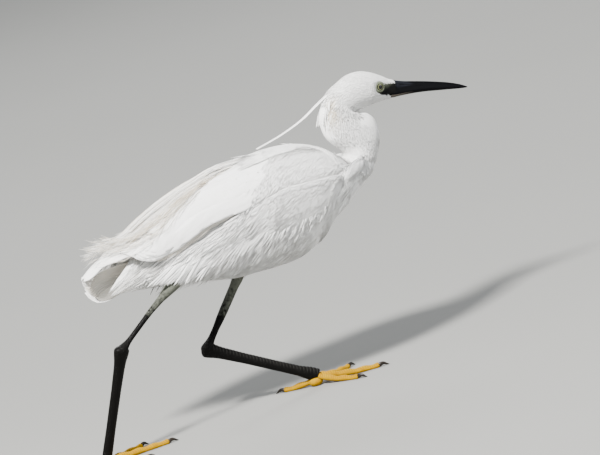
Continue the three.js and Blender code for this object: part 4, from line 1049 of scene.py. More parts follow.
# Long loose coverts under and beside the tail, and the long soft feathers of the rear flank. Their tips
# end on a ragged edge, behind which the hollow of the tail is open.
COVERT_EDGE = [                 # the edge: X, Z and distance from the middle; how steeply they fall to it
    [-97, 180, 19, 36], [-101, 175, 16, 35], [-107, 172, 14, 34], [-115, 165.5, 12, 33], [-120, 165, 10, 33],
    [-127, 159, 8, 32], [-133, 153.5, 6, 28], [-129, 150.5, 6, 18], [-118, 149.5, 8, 9], [-104, 148, 11, 5],
    [-96, 147, 8, 2], [-92, 147, 0, 0],
]
COVERT_ROWS = ((40, 30, 0), (38, 34, 7), (34, 36, 15), (30, 38, 24), (26, 40, 34))  # count, length, set back
COVERT_WIDTHS, THIGH_WIDTHS = (3.0, 5.0), (2.6, 4.4)
THIGH_FEATHERS = 110            # long feathers of the flank that hang over the thigh
THIGH_TIPS = ([-92, -76, -48], [151, 146.5, 139.5])      # X and level of their tips
BODY_X = [-99, -85, -66, -44, -18, 10, 40, 68, 86, 98, 106, 109]      # minus X of the body's rings
BODY_RINGS = range(19, 31)
RUMP_X = -96                    # behind this the coverts leave the body


def body_row(x):
    """The outline's ring at places along the body."""
    return spline(FLESH_ROWS, np.interp(-x, BODY_X, BODY_RINGS))


undertail = Feathers(cells=19)
rng = np.random.default_rng(9)
for count, reach, set_back in COVERT_ROWS:
    for side in (RIGHT, LEFT):
        for k in range(count):
            place = np.clip((k + rng.uniform(-0.5, 0.5)) / (count - 1), 0, 1) * (len(COVERT_EDGE) - 1)
            tip_x, tip_z, tip_y, slope = (np.interp(place, range(len(COVERT_EDGE)), column)
                                          for column in zip(*COVERT_EDGE))
            fall = math.tan(math.radians(slope))
            behind = set_back + rng.normal(0, 1.0)
            length = reach * rng.uniform(0.85, 1.1)
            high = 1.2 + 1.8 * set_back / 34

            def path(f):
                back = behind + length * (1 - f)
                x = tip_x + back
                z = tip_z + back * fall * (1 + 0.004 * back)
                held = np.maximum(x, RUMP_X)
                rows = body_row(held)
                down = np.clip((rows[:, 2] - z) / (rows[:, 2] - rows[:, 5]), 0.02, 0.98)
                cosine = np.where(down < BODY_WIDEST, 1 - down / BODY_WIDEST,
                                  (BODY_WIDEST - down) / (1 - BODY_WIDEST))
                rise = -1.2 + (high + 1.2) * np.minimum(1, 2.5 * f)
                places = on_body(held, np.degrees(np.arccos(cosine)), rise, side)
                past = np.clip((-x - 92) / (-tip_x - 90), 0, 1) * (tip_x < -94)
                places[:, 1] += (side * tip_y - places[:, 1]) * past
                places[:, 0] = x
                places[:, 2] += (z - places[:, 2]) * np.clip((-x - 88) / 8, 0, 1)
                return places

            def facing(f):
                angle = math.radians(np.interp(tip_z, [148, 160, 180], [165, 100, 70]))
                return np.tile(np.array([0, side * math.sin(angle), math.cos(angle)]), (len(f), 1))

            undertail.vane(path, facing, rng.uniform(*COVERT_WIDTHS), rng.random(), camber=0.05, stations=10,
                           columns=4, ragged=0.12, tip_from=0.4, thick=0.25, seed=k)
for k in range(THIGH_FEATHERS):
    side = RIGHT if k % 2 else LEFT
    start_x = rng.uniform(-70, -30)
    root = on_body(start_x, rng.uniform(88, 112), 0.2, side)[0]
    end_x = start_x - rng.uniform(22, 36)
    end_y = side * rng.uniform(31.0, 33.0)
    end = np.array([end_x, end_y, np.interp(end_x, *THIGH_TIPS) + rng.normal(0, 0.8)])
    bow = (root + end) / 2 + [0, side * 3.0, 1]

    def path(f):
        g = f[:, None]
        return (1 - g) ** 2 * root + 2 * g * (1 - g) * bow + g * g * end

    def facing(f):
        return np.tile(np.array([0, side * 0.95, -0.1]), (len(f), 1))

    undertail.vane(path, facing, rng.uniform(*THIGH_WIDTHS), rng.random(), camber=0.05, stations=10,
                   columns=4, ragged=0.3, tip_from=0.3, thick=0.25, seed=k)
undertail.piece("undertail_coverts", vane_look)

# Back plumes. Long shafts with loose hair-like barbs, grown from between the shoulders and trailed
# over the closed wings to past the tail, where they part and curl up.
PLUME_COUNT, PLUME_SPREAD, PLUME_LIFT, PLUME_CURL = 46, 34, 2.7, 14
PLUME_ROOTS, PLUME_TIPS = (-14, 40), (-106, -143)      # X of the outermost and middle roots, and of the tips
PLUME_SHEET = ([0, 0.25, 0.55, 0.8, 1], [0.45, 0.8, 1.0, 0.72, 0.3])   # along a plume, share of the spread
PLUME_STEPS, PLUME_SUNK = 26, 2.5
SHAFT_HALF = (0.5, 0.12)
BARB_COUNT, BARB_LENGTH, BARB_AWAY, BARB_STEPS = 40, 20, 3.2, 7
BARB_HALF = (0.20, 0.07)
CREAMIEST, CREAM_REACH = 0.72, 0.22      # share of the spread where the plumes are creamiest
plume_look, node, shader = material("fine_plumes", 0.7, under=0.2)
wire(shader, Base_Color=ramp(node, attribute(node, "shade"), {
    0.3: colour(0.93, 0.92, 0.89), 0.6: colour(0.82, 0.75, 0.62), 0.95: colour(0.50, 0.40, 0.27)}))
plumes = Feathers(cells=10)
rng = np.random.default_rng(17)
for k in range(PLUME_COUNT):
    aside = 2 * ((k + 0.5) / PLUME_COUNT) - 1
    start = between(1 - abs(aside), PLUME_ROOTS) + rng.normal(0, 5)
    end = between(rng.random() ** 0.6, PLUME_TIPS)
    curl, wander = PLUME_CURL * rng.uniform(0.15, 1.1), rng.normal(0, 1.6)
    f = np.linspace(0, 1, PLUME_STEPS)
    x = start + (end - start) * f
    y = PLUME_SPREAD * aside * np.interp(f, *PLUME_SHEET) + wander * f ** 2
    bed = table_at(WING_BED, x)
    top = bed[:, 3] + (bed[:, 1] - bed[:, 3]) * np.sqrt(np.maximum(0.1, 1 - (y / (bed[:, 2] + 4)) ** 2))
    over = -PLUME_SUNK + (PLUME_LIFT + PLUME_SUNK) * np.minimum(1, f * 5) + rng.uniform(-0.8, 0.6)
    z = np.maximum(top, body_row(x)[:, 2] - y * y * 0.02) + over + curl * np.maximum(0, (f - 0.8) * 5) ** 1.5
    shaft = np.stack([x, y, z], 1)
    up = np.tile([0, 0.25 * aside, 1.0], (PLUME_STEPS, 1))
    creamy = np.exp(-((abs(aside) - CREAMIEST) / CREAM_REACH) ** 2)
    plumes.strands(shaft[None], np.linspace(*SHAFT_HALF, PLUME_STEPS)[None], up[None],
                   0.2 + 0.25 * rng.random() + 0.5 * creamy)
    where = np.sort(rng.uniform(0.12, 0.985, BARB_COUNT))
    g = np.linspace(0, 1, BARB_STEPS)
    hand = np.where(np.arange(BARB_COUNT) % 2, 1.0, -1.0)
    reach = BARB_LENGTH * rng.uniform(0.6, 1.15, BARB_COUNT) * np.interp(where, [0, 0.7, 1], [1, 0.9, 0.4])
    along = where[:, None] + (reach / abs(end - start))[:, None] * g[None]
    spine = np.stack([np.interp(along, f, shaft[:, c]) for c in range(3)], -1)
    spine += np.maximum(0, along - 1)[..., None] * abs(end - start) * unit(shaft[-1] - shaft[-3])
    away = BARB_AWAY * rng.uniform(0.4, 1.2, BARB_COUNT)[:, None] * np.sin(g * math.pi / 2)[None] ** 0.8
    loose = np.clip((along - 0.75) * 4, 0, 1)
    spine[..., 1] += hand[:, None] * away * (1 + 0.8 * loose)
    spine[..., 2] += rng.normal(0, 1, (BARB_COUNT, 1)) * g[None] * (0.3 + 1.8 * loose) - 0.4 * g[None]
    plumes.strands(spine, np.linspace(*BARB_HALF, BARB_STEPS)[None],
                   np.tile([0, 0, 1.0], (BARB_COUNT, BARB_STEPS, 1)),
                   np.clip(rng.normal(0.3 + 0.35 * creamy, 0.22, BARB_COUNT), 0, 1))
plumes.piece("back_plumes", plume_look)

# Nape plumes. Two long narrow feathers side by side, stiff, with short close barbs.
NAPE_ROUTE = [[138, 2.5, 261], [129, 2.6, 258.6], [116, 2.8, 252.8], [98, 3, 244.4], [74, 4, 237.2],
              [49, 5.5, 232.2]]
NAPE_APART, NAPE_WIDTH, NAPE_STEPS = (1.5, 1.3), (3.1, 1.1), 60


def faces_towards(way):
    """A facing for a vane that looks one way all along."""
    return lambda f: np.tile(way, (len(f), 1))


for word, side in SIDES.items():
    plume = Feathers(cells=1)

    def path(f):
        points = spline(NAPE_ROUTE, f * (len(NAPE_ROUTE) - 1))
        points[:, 1] += side * between(f, NAPE_APART)
        return points

    plume.vane(path, faces_towards(unit(np.array([-0.2, side * 0.4, 1.0]))),
               np.linspace(*NAPE_WIDTH, NAPE_STEPS + 1), 0.1, stations=NAPE_STEPS, columns=4, ragged=0.18,
               root=0.5, tip_from=0.8, camber=0.1, seed=3 + side)
    made = plume.piece(f"nape_plume_{word}_feather", vane_look)
    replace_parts(made, f"nape_plume_{word}")

# Nape tuft. Short shaggy feathers at the back of the head, loose enough to part into points.
TUFT_FEATHERS, TUFT_SPREAD, TUFT_LENGTHS, TUFT_WIDTHS = 56, 9, (9, 15), (1.2, 2.2)
shaggy = Feathers(cells=12)
rng = np.random.default_rng(23)
for k in range(TUFT_FEATHERS):
    aside = rng.uniform(-TUFT_SPREAD, TUFT_SPREAD)
    drop = rng.uniform(0, 1)
    base = np.array([126 - 10 * drop + 0.02 * aside ** 2, aside + 1.5, 254 - 12 * drop])
    reach = rng.uniform(*TUFT_LENGTHS)
    kick = rng.uniform(0.2, 1.0)

    def path(f):
        return base + np.stack([-reach * (0.42 + 0.1 * kick) * f + 1.5 * f ** 2, 0.15 * aside * f,
                                -reach * 0.86 * f + 0.6 * f ** 2], 1)

    shaggy.vane(path, faces_towards(unit(np.array([-1.0, aside * 0.08, 0.4]))), rng.uniform(*TUFT_WIDTHS),
                rng.random(), stations=7, columns=2, ragged=0.4, tip_from=0.35, thick=0.25, camber=0.05,
                seed=k)
shaggy.piece("nape_tuft", vane_look)

# Breast plumes. Narrow pointed feathers that hang from the root of the neck over the breast.
BREAST_PLUMES, BREAST_PLUME_WIDTHS = 150, (1.8, 3.0)
BREAST_PLUME_ROOTS, BREAST_PLUME_REACH = (15.2, 17.4), (1.5, 2.3)      # by the skin's rings
breast_plumes = Feathers(cells=13)
for k in range(BREAST_PLUMES):
    side = RIGHT if k % 2 else LEFT
    turn = 180 - rng.uniform(2, 86)
    ring = rng.uniform(*BREAST_PLUME_ROOTS)
    reach = rng.uniform(*BREAST_PLUME_REACH)

    def path(f):
        u = ring + reach * f
        rows = spline(FLESH_ROWS, u)
        angle = np.radians(np.full(len(f), turn)) * side
        inset = by_ring(COAT_DEPTH, u) - (-1.5 + 2.9 * np.minimum(1, 1.8 * f))
        return np.concatenate([rings_of(rows[n:n + 1], angle[n:n + 1], inset[n:n + 1]).reshape(1, 3)
                               for n in range(len(f))])

    outwards = np.array([0.3, side * math.sin(math.radians(turn)), math.cos(math.radians(turn))])
    breast_plumes.vane(path, faces_towards(outwards), rng.uniform(*BREAST_PLUME_WIDTHS), rng.random(),
                       stations=9, columns=2, ragged=0.3, tip_from=0.3, thick=0.3, camber=0.06, seed=k)
breast_plumes.piece("breast_plumes", vane_look)

# Neck base. A soft pad of bright feathers on each side, where the neck leaves the shoulders. Its upper
# edge rolls in over a crease, and its tips hang loose over the breast.
NECK_PAD = [                    # from its rear end forward: inner upper edge, crest of the roll, lower edge
    [107.5, 33, 194.5, 107.2, 36, 196.3, 104, 38, 189],
    [113.5, 30.5, 194, 113.1, 34.5, 195.1, 103.5, 39.5, 183.5],
    [121.5, 23.5, 193.5, 120, 31, 195.9, 108, 39, 180.5],
    [131, 14, 193.5, 127, 27.5, 197.2, 115, 36, 181.5],
    [136, 14.5, 194.5, 133.4, 24.8, 197.7, 125, 30.5, 183.5],
    [139, 15.5, 195, 138.6, 22.6, 196.4, 133.5, 25.5, 186],
    [140, 16.5, 192.5, 140.3, 21.2, 193.2, 138.8, 22, 190],
]
PAD_GRID = (60, 26)
PAD_ROLL = 0.14                 # share of its depth that rolls in over the crease
PAD_SWELL, PAD_END_SUNK, PAD_FRONT_SUNK, PAD_TIP_SUNK = 2.0, 4.0, 1.8, 1.2
PAD_FULL = ([0, 0.3, 0.75, 1], [0, 1, 1, 0])
PAD_CROWD = 2.2
place = np.linspace(0, 1, PAD_GRID[0])
for word, side in SIDES.items():
    table = spline(NECK_PAD, np.linspace(0, len(NECK_PAD) - 1, PAD_GRID[0])) * ([1, side, 1] * 3)
    inner, crest, lower = table[:, None, 0:3], table[:, None, 3:6], table[:, None, 6:9]
    down = np.linspace(0, 1, PAD_GRID[1])[None, :, None]
    rolled, fallen = np.clip(down / PAD_ROLL, 0, 1), np.clip((down - PAD_ROLL) / (1 - PAD_ROLL), 0, 1)
    points = inner + (crest - inner) * np.sin(rolled * np.pi / 2) + (lower - crest) * fallen
    out = unit(np.cross(*np.gradient(points, axis=(0, 1))))
    out *= np.sign((out * np.array([0.3, side, 0.1])).sum(-1, keepdims=True))
    full = smooth(np.interp(place, *PAD_FULL))[:, None, None]
    rear_sunk = np.interp(place, [0, 0.3], [PAD_END_SUNK, 0])[:, None, None]
    front_sunk = PAD_FRONT_SUNK * np.clip((place - 0.78) / 0.22, 0, 1)[:, None, None]
    swell = PAD_SWELL * np.sin(np.pi * fallen) ** 0.8 * full - rear_sunk - front_sunk
    points = points + (swell - PAD_TIP_SUNK * np.clip((fallen - 0.6) / 0.4, 0, 1)) * out
    back, low_way = ways_of(points)
    lie = unit(0.6 * -back + np.interp(down, [0, 0.2, 1], [0.2, 0.7, 1.0]) * low_way)
    across = np.broadcast_to(down[..., 0], PAD_GRID)
    size = stack(np.interp(across, [0, 0.2, 1], [3.0, 5.5, 7]), 0.9, 0.45)
    raise_tips = np.interp(across, [0, 0.5, 1], [0.02, 0.04, 0.1])
    ground = ground_of(points, lie, size, raise_tips, PAD_CROWD, 0.0, mirrored=side == LEFT)
    lay_coat(f"coat_neck_base_{word}", ground, coat_look, 71 + side, yaw=0.12)

# Bill. Two horn sheaths, black and satin, with paler horn along the base of the lower one, and a painted
# sheen of blue-grey streaks near the base, strongest along the top. The upper one carries a groove with a
# slit nostril on each side.
BILL_ROWS = [                   # in the head's frame: X, ridge, line of the mouth, underside, half width
    [15, 7.4, -6.9, -9.9, 6.6], [19.8, 7, -6.6, -9.4, 6.3], [24, 6.4, -6, -8.5, 5.7],
    [32, 5.9, -4.6, -7.1, 4.8], [43, 5.8, -3.3, -5.4, 3.9], [55, 5.6, -2.1, -4.1, 3.2],
    [68, 5.1, -1.3, -3.2, 2.6], [80, 4.2, -0.6, -2.4, 2.1], [91, 2.6, -0.2, -1.7, 1.4],
    [99.4, 0.4, -0.35, -0.7, 0.4],
]
BILL_SIDES, BILL_RINGS = 56, 150
LOWER_SHORTER, BILL_TIP = 1.4, 99.4
NOSTRIL_AT = (28.0, 1.9)        # forward and up, in the head's frame
NOSTRIL_DEEP = 1.1
GROOVE_LEVEL, GROOVE_DEEP = ([18, 60], [2.0, 2.9]), ([18, 24, 45, 66], [0.4, 1, 0.7, 0])      # by X
PALE_BY_X, SHEEN_BY_X = ([14, 22, 38, 50], [0.75, 0.66, 0.35, 0]), ([12, 18, 34, 60], [0.9, 1.1, 0.8, 0.15])
BILL_BLACK, BILL_SHEEN_BLUE = colour(0.002, 0.002, 0.0025), colour(0.014, 0.015, 0.02)
BILL_HORN = colour(0.085, 0.072, 0.06)


def grain(node, stretch, scale, detail):
    """Noise that runs along the bill, from its own coordinates."""
    drawn = node("ShaderNodeMapping", Vector=attribute(node, "own", "Vector"), Scale=stretch).outputs[0]
    return node("ShaderNodeTexNoise", Vector=drawn, Scale=scale, Detail=detail).outputs["Fac"]


horn_look, node, shader = material("bill_horn", 0.34, gloss=0.05)
streaks = grain(node, (0.05, 0.9, 0.9), 1.3, 4.0)
scratches = grain(node, (0.25, 3.0, 3.0), 1.6, 3.0)
# Painted sheen: blue-grey streaks mixed into the black horn.
streaked_sheen = worked(node, "MULTIPLY", attribute(node, "blue"), streaks)
streaked_pale = worked(node, "MULTIPLY_ADD", streaks, 0.5, attribute(node, "pale"))
sheen_mask = ramp(node, streaked_sheen, {0.28: BLACK, 0.62: WHITE})
horn_mask = ramp(node, streaked_pale, {0.55: BLACK, 1.0: WHITE})
wire(shader, Base_Color=mix(node, horn_mask, mix(node, sheen_mask, BILL_BLACK, BILL_SHEEN_BLUE), BILL_HORN),
     Roughness=node("ShaderNodeMapRange", Value=scratches, To_Min=0.26, To_Max=0.46).outputs[0],
     Normal=raised(node, scratches, 0.06))


def mandible(name, upper):
    """One half of the bill. The two overlap a little along the mouth, so that no slit shows."""
    rows = []
    for x, ridge, mouth, low, half in BILL_ROWS:
        forward = x if upper else x - LOWER_SHORTER * x / BILL_TIP
        top, bottom = (ridge, mouth - 0.3) if upper else (mouth + 0.1, min(low, mouth - 0.5))
        widest, narrow = (0.92, 0.22) if upper else (0.10, 0)
        rows.append([forward, 0, top, forward, 0, bottom, half, widest, narrow, 0])
    angles = np.linspace(0, 2 * np.pi, BILL_SIDES + 1)[:-1]
    points = rings_of(spline(rows, np.linspace(0, len(rows) - 1, BILL_RINGS)), angles, np.zeros(BILL_RINGS))
    x, y, z = points[..., 0], points[..., 1], points[..., 2]
    if upper:
        groove = 0.45 * np.exp(-((z - np.interp(x, *GROOVE_LEVEL)) / 0.8) ** 2) * np.interp(x, *GROOVE_DEEP)
        slit = NOSTRIL_DEEP * np.exp(-((x - NOSTRIL_AT[0]) / 3.4) ** 4 - ((z - NOSTRIL_AT[1]) / 0.42) ** 2)
        points[..., 1] -= np.sign(y) * np.minimum(np.abs(y) * 0.6, groove + slit)
    local = np.vstack([points.reshape(-1, 3), points[0].mean(0), points[-1].mean(0) + [0.25, 0, 0]])
    x, z = local[:, 0], local[:, 2]
    pale = np.interp(x, *PALE_BY_X) * (0 if upper else 1) * np.clip(0.4 - z / 6, 0, 1)
    # Painted sheen: strongest towards the base and along the top, half as strong on the lower mandible.
    blue = np.interp(x, *SHEEN_BY_X) * np.clip((z + 3) / 5, 0.1, 1) * (1 if upper else 0.5)
    piece = outward(mesh_object(name, from_head(local), tube_faces(BILL_RINGS, BILL_SIDES), [horn_look],
                                numbers={"own": local, "pale": pale, "blue": blue}))
    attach(piece, "root")
    return piece


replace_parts(mandible("bill_upper", True), "upper_mandible")
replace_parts(mandible("bill_lower", False), "lower_mandible")

# Eyes. A wet ball behind each ring of lids: a round black pupil, a pale yellow-green iris with a dark
# rim, and the clear cornea's gloss. The lids are folds of bare grey-green skin.
EYE_RADIUS, EYE_DEEP, EYE_AT = 5.2, 3.9, 8.9      # across, its half depth sideways, and its middle
EYE_SHIFT = np.array([-0.6, 0.0, 0.9])
EYE_RINGS, EYE_SIDES, LID_SIDES, LID_ROUND = 41, 48, 64, 12
PUPIL, IRIS, AXIS_SPAN = 2.2, 2.6, 6      # radii, and the distance from the axis that counts as 1
LID_REACH, LID_FOLD = 4.5, 1.05           # radius of the ring of lids, and of its fold
EYE_BLACK, EYE_RIM = colour(0.003, 0.003, 0.003), colour(0.02, 0.02, 0.02)
IRIS_DARK, IRIS_LIGHT = colour(0.15, 0.17, 0.06), colour(0.31, 0.32, 0.15)
eye_look, node, shader = material("eye_gloss", 0.05, gloss=0.4)
own_place = attribute(node, "own", "Vector")
flecks = node("ShaderNodeTexNoise", Vector=own_place, Scale=1.2, Detail=4.0).outputs["Fac"]
edge = ramp(node, attribute(node, "off_axis"), {
    0.0: BLACK, PUPIL / AXIS_SPAN - 0.01: BLACK, PUPIL / AXIS_SPAN + 0.01: WHITE,
    IRIS / AXIS_SPAN - 0.05: WHITE, IRIS / AXIS_SPAN + 0.01: EYE_RIM})
wire(shader, Base_Color=mix(node, edge, EYE_BLACK, mix(node, flecks, IRIS_DARK, IRIS_LIGHT)))
lid_look, node, shader = material("eyelid_skin", 0.5, gloss=0.15)
wire(shader, Base_Color=ramp(node, spots(node, 0.9), {0.3: colour(0.05, 0.057, 0.038),
                                                      0.7: colour(0.16, 0.175, 0.12)}),
     Normal=raised(node, spots(node, 0.5), 0.1))


def turns(count):
    """Angles once round."""
    return np.linspace(0, 2 * np.pi, count + 1)[:-1]


for word, side in SIDES.items():
    out, about = np.linspace(0, np.pi, EYE_RINGS), turns(EYE_SIDES)
    reach = EYE_RADIUS * np.sin(out)[:, None]
    aside = np.broadcast_to(side * (EYE_AT + EYE_DEEP * np.cos(out))[:, None], (EYE_RINGS, EYE_SIDES))
    ball = np.stack([reach * np.cos(about), aside, reach * np.sin(about)], -1)
    local = np.vstack([ball[1:-1].reshape(-1, 3), ball[0, :1], ball[-1, :1]])
    off_axis = np.hypot(local[:, 0], local[:, 2]) / AXIS_SPAN
    off_axis[local[:, 1] * side < EYE_AT] = 1
    eyeball = outward(mesh_object(f"eyeball_{word}", from_head(local + EYE_SHIFT),
                                  tube_faces(EYE_RINGS - 2, EYE_SIDES), [eye_look],
                                  numbers={"off_axis": off_axis, "own": local}))
    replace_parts(eyeball, f"eye_{word}")
    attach(eyeball, "root")

    around, thick = turns(LID_SIDES), turns(LID_ROUND)
    ring = LID_REACH + 0.15 * np.cos(2 * around) - 0.2 * np.maximum(0, np.sin(around))
    fold = LID_FOLD + 0.12 * np.sin(around) + 0.05 * np.sin(11 * around)
    reach = ring[:, None] + fold[:, None] * np.cos(thick)
    level = EYE_AT + EYE_DEEP * np.sqrt(np.clip(1 - (reach / (EYE_RADIUS + 0.5)) ** 2, 0, 1)) + 0.1
    lid = np.stack([reach * np.cos(around)[:, None], side * (level + 0.45 * fold[:, None] * np.sin(thick)),
                    reach * np.sin(around)[:, None]], -1) + EYE_SHIFT
    r, c = (grid.ravel() for grid in np.meshgrid(np.arange(LID_SIDES), np.arange(LID_ROUND), indexing="ij"))
    onward, beside = (r + 1) % LID_SIDES * LID_ROUND, (c + 1) % LID_ROUND
    faces = np.stack([r * LID_ROUND + c, r * LID_ROUND + beside, onward + beside, onward + c], 1)
    lids = outward(mesh_object(f"eyelids_{word}", from_head(lid.reshape(-1, 3)), faces, [lid_look]))
    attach(lids, "root")

# Legs. Bare skin over bone and tendon. The upper leg is grey and downy where it leaves the belly, then
# black, with broad scutes down the front of the shank and small scales behind.
LEGS = {                        # knee, ankle, foot, heading in degrees, and where the feathers end
    "right": (RIGHT, [-27, -26, 181], [-142, -26, 103], [-178, 2], -5, 66),
    "left": (LEFT, [49, 30, 169], [-48.5, 22, 65.8], [41, 8], -19, 70),
}
PAD_LEVEL = 4.2
TIBIA = {                       # distance from the cuff, and half size across there
    "right": ([0, 10, 16, 26, 38, 50, 200], [6.4, 6.5, 5.5, 3.6, 2.95, 2.6, 2.6]),
    "left": ([0, 12, 20, 44, 54, 62, 200], [5.4, 5.5, 4.6, 4.4, 4.0, 3.4, 3.2]),
}
TIBIA_BENT = {"right": 1, "left": 0}      # only the right one leaves the belly bent forward
BEND = ([0, 8, 26, 40], [5.0, 4.4, 1.6, 0])
TIBIA_KNOB, TARSUS_KNOB = (7.5, 2.6, 3.3), (8.5, 1.4, 1.7)      # the ankle: reach, and swell across and deep
TARSUS_AT = [0.0, 0.12, 0.35, 0.7, 0.9, 1.0]      # shares of the shank, and its half sizes there
TARSUS_WIDE, TARSUS_DEEP = [4.5, 4.2, 3.8, 3.6, 3.9, 4.0], [5.9, 5.7, 5.0, 4.8, 5.0, 5.0]
# The left shank comes down flat to its foot: how far its end is raised, goes on and swells.
TARSUS_END = {"right": (0, 1, 0), "left": (6.2, 1.035, 1.3)}
TARSUS_FRONT = {"right": [1.0, 0, 0.3], "left": [0.5, 0, 1.0]}
TIBIA_PALE = ([0, 14, 26, 52, 62], [0.7, 0.5, 0.34, 0.22, 0.0])
TARSUS_PALE = ([0, 8, 20], [0.12, 0.05, 0.0])
SIDEWAYS, UPWARDS = np.array([0, 1.0, 0]), np.array([0, 0, 1.0])
TIBIA_SCUTE, SHANK_SCUTE = 2.6, 3.3      # heights of the scutes
LEG_BLACK, LEG_DUST = colour(0.003, 0.0028, 0.0026), colour(0.05, 0.048, 0.044)
LEG_GREY, LEG_PALE = colour(0.10, 0.105, 0.085), colour(0.46, 0.45, 0.40)


def limb(name, path, wide, deep, up, look, sides, relief=None, pale=None, rounded=(0.0, 0.0)):
    """A closed round bar along a path, its half sizes across and along `up`, with relief from the distance
    along it and the angle from `up`. Keeps that distance, how pale the skin is by it, and how deep in a
    crease each point lies. rounded gives the length over which each end closes like a ball."""
    way = unit(np.gradient(path, axis=0))
    run = np.concatenate([[0], np.cumsum(np.linalg.norm(np.diff(path, axis=0), axis=1))])
    for reach, off in zip(rounded, (run, run[-1] - run)):
        if reach:
            closing = np.sqrt(np.clip(1 - (1 - np.minimum(off / reach, 1)) ** 2, 0.004, 1))
            wide, deep = wide * closing, deep * closing
    across = unit(np.cross(way, up))
    rise = np.cross(across, way)
    angle = turns(sides)
    grown, crease = relief(run[:, None], angle[None]) if relief else (0 * angle[None], 0 * angle[None])
    grown, crease = (np.broadcast_to(v, (len(path), sides)) for v in (grown, crease))
    ring = (path[:, None] + across[:, None] * ((wide[:, None] + grown) * np.sin(angle))[..., None]
            + rise[:, None] * ((deep[:, None] + grown) * np.cos(angle))[..., None])
    ends = [path[0] - way[0] * 0.25 * deep[0], path[-1] + way[-1] * 0.25 * deep[-1]]
    along = np.concatenate([np.repeat(run, sides), [0, run[-1]]])
    numbers = {"along": along, "crease": np.concatenate([crease.ravel(), [0, 0]])}
    if pale:
        numbers["pale"] = np.interp(along, *pale)
    piece = outward(mesh_object(name, np.vstack([ring.reshape(-1, 3), ends]), tube_faces(len(path), sides),
                                [look], numbers=numbers))
    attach(piece, "root")
    return piece


def scales(node, size):
    """Small rounded scales with narrow furrows between them, from 0 in a furrow to 1 on a scale."""
    place = node("ShaderNodeTexCoord").outputs["Object"]
    cells = node("ShaderNodeTexVoronoi", {"feature": "DISTANCE_TO_EDGE"}, Vector=place,
                 Scale=1 / (size * MM))
    return node("ShaderNodeMapRange", Value=cells.outputs["Distance"], From_Max=0.12).outputs[0]


def scuted(tall, groove, from_up, to_up):
    """Relief of broad scutes on one side of a limb: domed plates with a furrow between them."""

    def relief(run, angle):
        turn = np.abs((angle + np.pi) % (2 * np.pi) - np.pi)
        facing = np.clip((to_up - turn) / (to_up - from_up), 0, 1)
        wave = (run + 0.25 * tall * np.cos(angle * 2)) / tall
        furrow = np.exp(-(np.abs(wave - np.round(wave)) * tall / (0.11 * tall)) ** 2)
        dome = np.cos(np.pi * (wave - np.floor(wave) - 0.5)) ** 0.5
        return facing * (groove * 0.5 * dome - groove * furrow), facing * furrow

    return relief


leg_look, node, shader = material("leg_skin_black", 0.42, gloss=0.06)
fading = worked(node, "MULTIPLY_ADD", spots(node, 2.6, detail=4.0), 0.5, attribute(node, "pale"))
greys = mix(node, ramp(node, fading, {0.42: BLACK, 0.62: WHITE}), LEG_BLACK, LEG_GREY)
pales = mix(node, ramp(node, fading, {0.75: BLACK, 1.15: WHITE}), greys, LEG_PALE)
dusty = worked(node, "MULTIPLY", attribute(node, "crease"), 0.5)
wire(shader, Base_Color=mix(node, dusty, pales, LEG_DUST),
     Roughness=node("ShaderNodeMapRange", Value=spots(node, 1.2), To_Min=0.3, To_Max=0.55).outputs[0],
     Normal=raised(node, scales(node, 1.9), 0.16))

for word, (side, knee, ankle, foot, heading, cuff) in LEGS.items():
    knee, ankle = np.array(knee, float), np.array(ankle, float)
    shin = unit(ankle - knee)
    length = np.linalg.norm(ankle - knee)
    s = np.concatenate([np.arange(cuff - 16, length - 2, 0.9), np.linspace(length - 2, length + 5.2, 26)])
    path = knee + shin * s[:, None]
    from_cuff = np.maximum(s - cuff + 12, 0)
    path[:, 0] += np.interp(from_cuff, *BEND) * TIBIA_BENT[word]
    reach, swell_wide, swell_deep = TIBIA_KNOB
    knob = np.exp(-((s - length) / reach) ** 2)
    thick = np.interp(from_cuff, *TIBIA[word])
    tibia = limb(f"shin_{word}", path, 0.92 * thick + swell_wide * knob, thick + swell_deep * knob, SIDEWAYS,
                 leg_look, 36, scuted(TIBIA_SCUTE, 0.16, 0.6, 1.6), TIBIA_PALE, rounded=(0.0, 6.0))
    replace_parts(tibia, f"tibia_{word}")

    pad = np.array([foot[0], foot[1], PAD_LEVEL + 0.8])
    length = np.linalg.norm(pad - ankle)
    raised_end, end, swollen_end = TARSUS_END[word]
    f = np.concatenate([np.linspace(-5.0 / length, 0, 20)[:-1], np.linspace(0, end, int(length / 0.45))])
    path = ankle + (pad - ankle) * f[:, None]
    path[:, 2] += raised_end * np.clip(f, 0, 1)
    reach, swell_wide, swell_deep = TARSUS_KNOB
    knob = np.exp(-(f * length / reach) ** 2)
    wide = np.interp(f, TARSUS_AT, TARSUS_WIDE) + swell_wide * knob
    deep = np.interp(f, TARSUS_AT, TARSUS_DEEP) + swell_deep * knob
    deep = deep + swollen_end * np.clip((f - 0.86) / 0.1, 0, 1)
    shank = limb(f"shank_{word}", path, wide * 0.95, deep * 0.98, np.array(TARSUS_FRONT[word]), leg_look, 40,
                 scuted(SHANK_SCUTE, 0.34, 0.9, 1.5), TARSUS_PALE, rounded=(5.0, 0.0))
    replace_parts(shank, f"tarsus_{word}")

